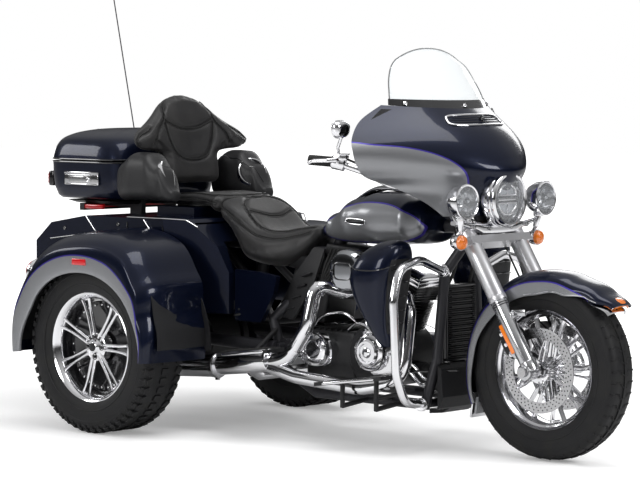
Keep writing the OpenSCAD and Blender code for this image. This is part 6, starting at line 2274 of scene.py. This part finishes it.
@dataclass
class RearBody:
    """The body between the fenders: side panels, trim lines, boot door and plate."""

    def build(self) -> None:
        """Builds the trim, the joints and the boot's fittings."""
        repaint(NAVY, "rear_body", "side_covers", "boot_door")
        repaint(BRUSHED, "boot_hinges")
        self.sides()
        self.door()

    def sides(self) -> None:
        """Builds the chrome lines and the dark joints on both flanks."""
        chrome, joint, clips = Form(), Form(), Form()
        chrome.tube(bent([(-66, 384, 800), (110, 370, 800), (196, 330, 796), (232, 305, 770)], 26), 3.6,
            10, 0.7)
        chrome.tube(bent([(20, 381, 792), (150, 366, 640), (206, 342, 560)], 30), 3.2, 10, 0.7)
        chrome.tube(bent([(-300, 384, 798), (-246, 384, 742), (-150, 384, 700)], 20), 3.0, 10, 0.7)
        joint.tube(bent([(-70, 382, 780), (-70, 383, 600), (-70, 383, 460)], 20), 2.4, 8)
        joint.tube(bent([(-500, 383, 700), (-300, 383, 726), (-80, 383, 726)], 20), 2.4, 8)
        joint.tube(bent([(110, 369, 770), (118, 366, 640), (150, 352, 560)], 20), 2.2, 8)
        for x, z in ((-120, 770), (-420, 744), (60, 620)):
            y = 381 if x < 0 else 374
            clips.lathe((x, y, z), (0, 1, 0), [(-3, 0), (-3, 8), (2, 7.5), (3.4, 5), (2, 3), (2, 0)], 24)
        chrome.both_sides().piece("body_trim_lines", CHROME)
        joint.both_sides().piece("body_joints", GLOSS_BLACK)
        clips.both_sides().piece("body_clips", GLOSS_BLACK)
        lower = Form()
        for side in (-1, 1):
            # vented lower panel behind the engine
            for k in range(6):
                lower.block((372 + 9 * k, side * (212 - 8 * k), 446 + 22 * k), (52, 6, 9),
                    (0, -14, side * -32), 2, 1)
        lower.piece("body_louvres", PLASTIC)

    def door(self) -> None:
        """Builds the boot door's pressed panel, handle, lock and plate bracket."""
        panel, handle, plate, bolts, seal = Form(), Form(), Form(), Form(), Form()
        for side in (-1, 1):
            panel.block((-601, side * 205, 622), (3, 196, 60), bevel=1.4)
            panel.block((-601, side * 205, 520), (3, 196, 84), bevel=1.4)
        panel.piece("boot_pressings", NAVY, Body.BOOT)
        handle.tube(bent([(-600, -70, 662), (-612, -64, 662), (-612, 64, 662), (-600, 70, 662)], 8), 4.6,
            12)
        handle.lathe((-600, 118, 650), (-1, 0, 0), [(-2, 0), (-2, 11), (4, 10), (6, 7), (4, 4), (4, 0)],
            28)
        handle.piece("boot_handle", CHROME, Body.BOOT)
        plate.block((-602, 0, 586), (3, 178, 104), bevel=1.3)
        plate.tube(bent([(-604, -90, 534), (-604, 90, 534), (-604, 90, 638), (-604, -90, 638),
            (-604, -90, 534)], 8), 2.0, 8)
        plate.piece("boot_plate", PLATE_WHITE, Body.BOOT)
        for y in (-73, 73):
            for z in (555, 625):
                bolts.rod((-603, y, z), (-606, y, z), 6, segments=6, bevel=0.7)
        bolts.piece("boot_plate_bolts", BRUSHED, Body.BOOT)
        seal.tube(bent([(-588, -322, 465), (-588, 322, 465), (-588, 322, 677), (-588, -322, 677),
            (-588, -322, 465)], 12), 3.0, 8)
        seal.piece("boot_seal", RUBBER)


@dataclass
class LuggageBox:
    """The top box: shell, lid, latch, lamps, light bar and rack."""

    rear: float = -648.0
    front: float = -216.0
    half: float = 285.0

    def level(self, u: float, z: float, rear: float, front: float, side: float,
        power: float = 6.0) -> Point:
        """Returns a point of a level that is pulled in from the box's sides."""
        a, b = squircle(u, power)
        x0, x1 = self.rear + rear, self.front - front
        return ((x0 + x1) / 2 + (x1 - x0) / 2 * a, (self.half - side) * b, z)

    def build(self) -> None:
        """Builds the box and the lid."""
        tub_levels = [(854, 212, 212, 280), (853, 60, 30, 50), (855, 34, 10, 24), (866, 22, 4, 12),
            (900, 8, 1, 4), (950, 1, 0, 1), (994, 0, 0, 0), (1001, 0, 0, 0)]
        tub = Form().surface(7, 120, lambda u, v: self.level(u, *tub_levels[round(v * 7)]))
        tub.wall(5.0).piece("box_shell", NAVY, stands_for=("luggage_box",), sharp=40, edge=1.2)
        lid_levels = [(1006, 0, 0, 0), (1034, 2, 6, 4), (1066, 9, 18, 13), (1092, 28, 42, 32),
            (1112, 66, 86, 76), (1124, 118, 136, 136), (1129, 170, 180, 200), (1130, 215, 215, 284)]

        def crown(u: float, v: float) -> Point:
            """Returns a point of the lid's dome."""
            a = flowing([row[:3] for row in lid_levels], v)
            b = flowing([(row[3], 0, 0) for row in lid_levels], v)
            return self.level(u, a.x, max(a.y, 0), max(a.z, 0), max(b.x, 0), mix(6.0, 3.0, v))

        lid = Form().surface(36, 120, crown).wall(5.0)
        lid.piece("box_lid", NAVY, Body.LID, ("luggage_lid",), sharp=40)
        rim = Form()
        rim.tube([self.level(k / 120, 998, 0, 0, -1) for k in range(121)], 3.2, 8)
        rim.piece("box_rim", GLOSS_BLACK)
        brim = Form()
        brim.tube([self.level(k / 120, 1009, 0, 0, -1) for k in range(121)], 3.0, 8)
        brim.piece("lid_rim", GLOSS_BLACK, Body.LID)
        ribs = Form()
        for y in (-120, 120):
            ribs.tube([Vector((x, y, 0)) + Vector((0, 0, self.height(x, y,
                lid_levels) + 0.6)) for x in range(-560, -290, 10)], 2.6, 8, 0.5)
        ribs.piece("lid_ribs", NAVY, Body.LID)
        self.latch()
        self.lamps()
        self.rack()

    def height(self, x: float, y: float, levels: Sequence[Point]) -> float:
        """Returns the lid's height over a point of its plan."""
        best = levels[0][0]
        for z, rear, front, side in levels:
            x0, x1, w = self.rear + rear, self.front - front, self.half - side
            a, b = (x - (x0 + x1) / 2) / max((x1 - x0) / 2, 1), y / max(w, 1)
            if abs(a) ** 4 + abs(b) ** 4 < 1:
                best = z
        return best

    def latch(self) -> None:
        """Builds the chrome latch on the right and the hinges on the left."""
        plate, slot, key, hinge = Form(), Form(), Form(), Form()
        plate.block((-423, -288, 930), (192, 8, 42), (0, 0, 0), 3, 3)
        plate.block((-423, -291, 912), (176, 6, 5), bevel=1.5)
        plate.block((-423, -288, 956), (196, 9, 8), bevel=2)
        slot.block((-430, -291.4, 932), (128, 3, 24), bevel=1.2)
        key.lathe((-384, -291, 932), (0, -1, 0), [(0, 0), (0, 10), (4, 10), (5, 8), (4, 5), (4, 0)], 28)
        key.block((-384, -295.4, 932), (2, 1.4, 10))
        plate.piece("box_latch", CHROME)
        slot.piece("box_latch_slot", BRUSHED, slot="chrome")
        key.piece("box_latch_key", CHROME)
        for x in (-528, -336):
            hinge.block((x, 288, 975), (46, 5, 40), bevel=2)
            hinge.rod((x - 24, 294, 1000), (x + 24, 294, 1000), 5, segments=18, bevel=1)
        hinge.piece("box_hinges", CHROME)

    def lamps(self) -> None:
        """Builds the box's rear lamps and the light bar under it."""
        case, red, bar = Form(), Form(), Form()
        for side in (-1, 1):
            case.block((-655, side * 205, 928), (26, 78, 60), (0, 0, side * -6), 6, 3)
            red.block((-670, side * 205, 928), (14, 68, 46), (0, 0, side * -6), 5, 3)
            for k in (-1, 0, 1):
                case.block((-677, side * 205, 928 + k * 13), (3, 66, 1.6), (0, 0, side * -6))
        case.piece("box_lamp_cases", GLOSS_BLACK)
        red.piece("box_lamps", RED)
        bar.block((-456, 0, 823), (24, 506, 24), bevel=6, segments=3)
        for side in (-1, 1):
            bar.block((-400, side * 244, 823), (112, 18, 18), (0, 0, 0), 5, 3)
        bar.piece("box_light_bar", RED)

    def rack(self) -> None:
        """Builds the luggage rack under the box."""
        repaint(FRAME_BLACK, "luggage_rack", "antenna")
        base = Form()
        base.surface(3, 80, lambda u, v: self.level(u, mix(846, 836, v), 50 + 30 * v, 20 + 10 * v,
            40 + 24 * v), cap=True)
        base.piece("box_base", PLASTIC)
        coil = Form()
        a, b = corners("antenna")
        top, bottom = Vector((a.x + 2, (a.y + b.y) / 2, b.z - 3)), Vector((b.x - 6, (a.y + b.y) / 2,
            a.z + 12))
        run = (top - bottom).normalized()
        path = []
        for k in range(90):
            turn = math.tau * k / 10
            path.append(bottom + run * (40 + k * 0.9) + Vector((5 * math.cos(turn), 5 * math.sin(turn),
                0)))
        coil.tube(path, 1.3, 6)
        coil.lathe(bottom, run, [(0, 0), (0, 12), (10, 12), (14, 9), (30, 7), (34, 0)], 28)
        coil.piece("antenna_spring", GLOSS_BLACK)


# ---------------------------------------------------------------- the whole


def carried() -> None:
    """Gives the carried-over CAD nodes their finishes."""
    repaint(FRAME_BLACK, "frame", "seat_frame", "swingarm")
    repaint(ENGINE_BLACK, "rear_axle")
    repaint(RUBBER, "drive_belt")
    repaint(BRUSHED, "front_axle")
    repaint(SATIN, "fork_yokes")


def main() -> None:
    """Builds the trike, sub-assembly by sub-assembly."""
    logging.basicConfig(level=logging.INFO, format="%(message)s")
    rear = [RearWheel(body.value, body, (0.0, side.value * 555.0, 324.0), float(side.value), 324.0, 205.0,
        206.0) for side, body in ((Side.LEFT, Body.REAR_LEFT), (Side.RIGHT, Body.REAR_RIGHT))]
    front = FrontWheel("front_wheel", Body.FRONT_WHEEL, (1670.0, 0.0, 320.0), 1.0, 320.0, 130.0, 218.0)
    carried()
    parts = [Studio(), front, *rear, RearFenders(), FrontFender(), Fork(), Fairing(), FrontLamps(),
        Controls(), Tank(), Engine(), Exhaust(), LegShields(), Boards(), Seating(), RearBody(),
        LuggageBox()]
    for part in parts:
        LOG.info("building %s", type(part).__name__)
        part.build()


if __name__ == "__main__":
    main()
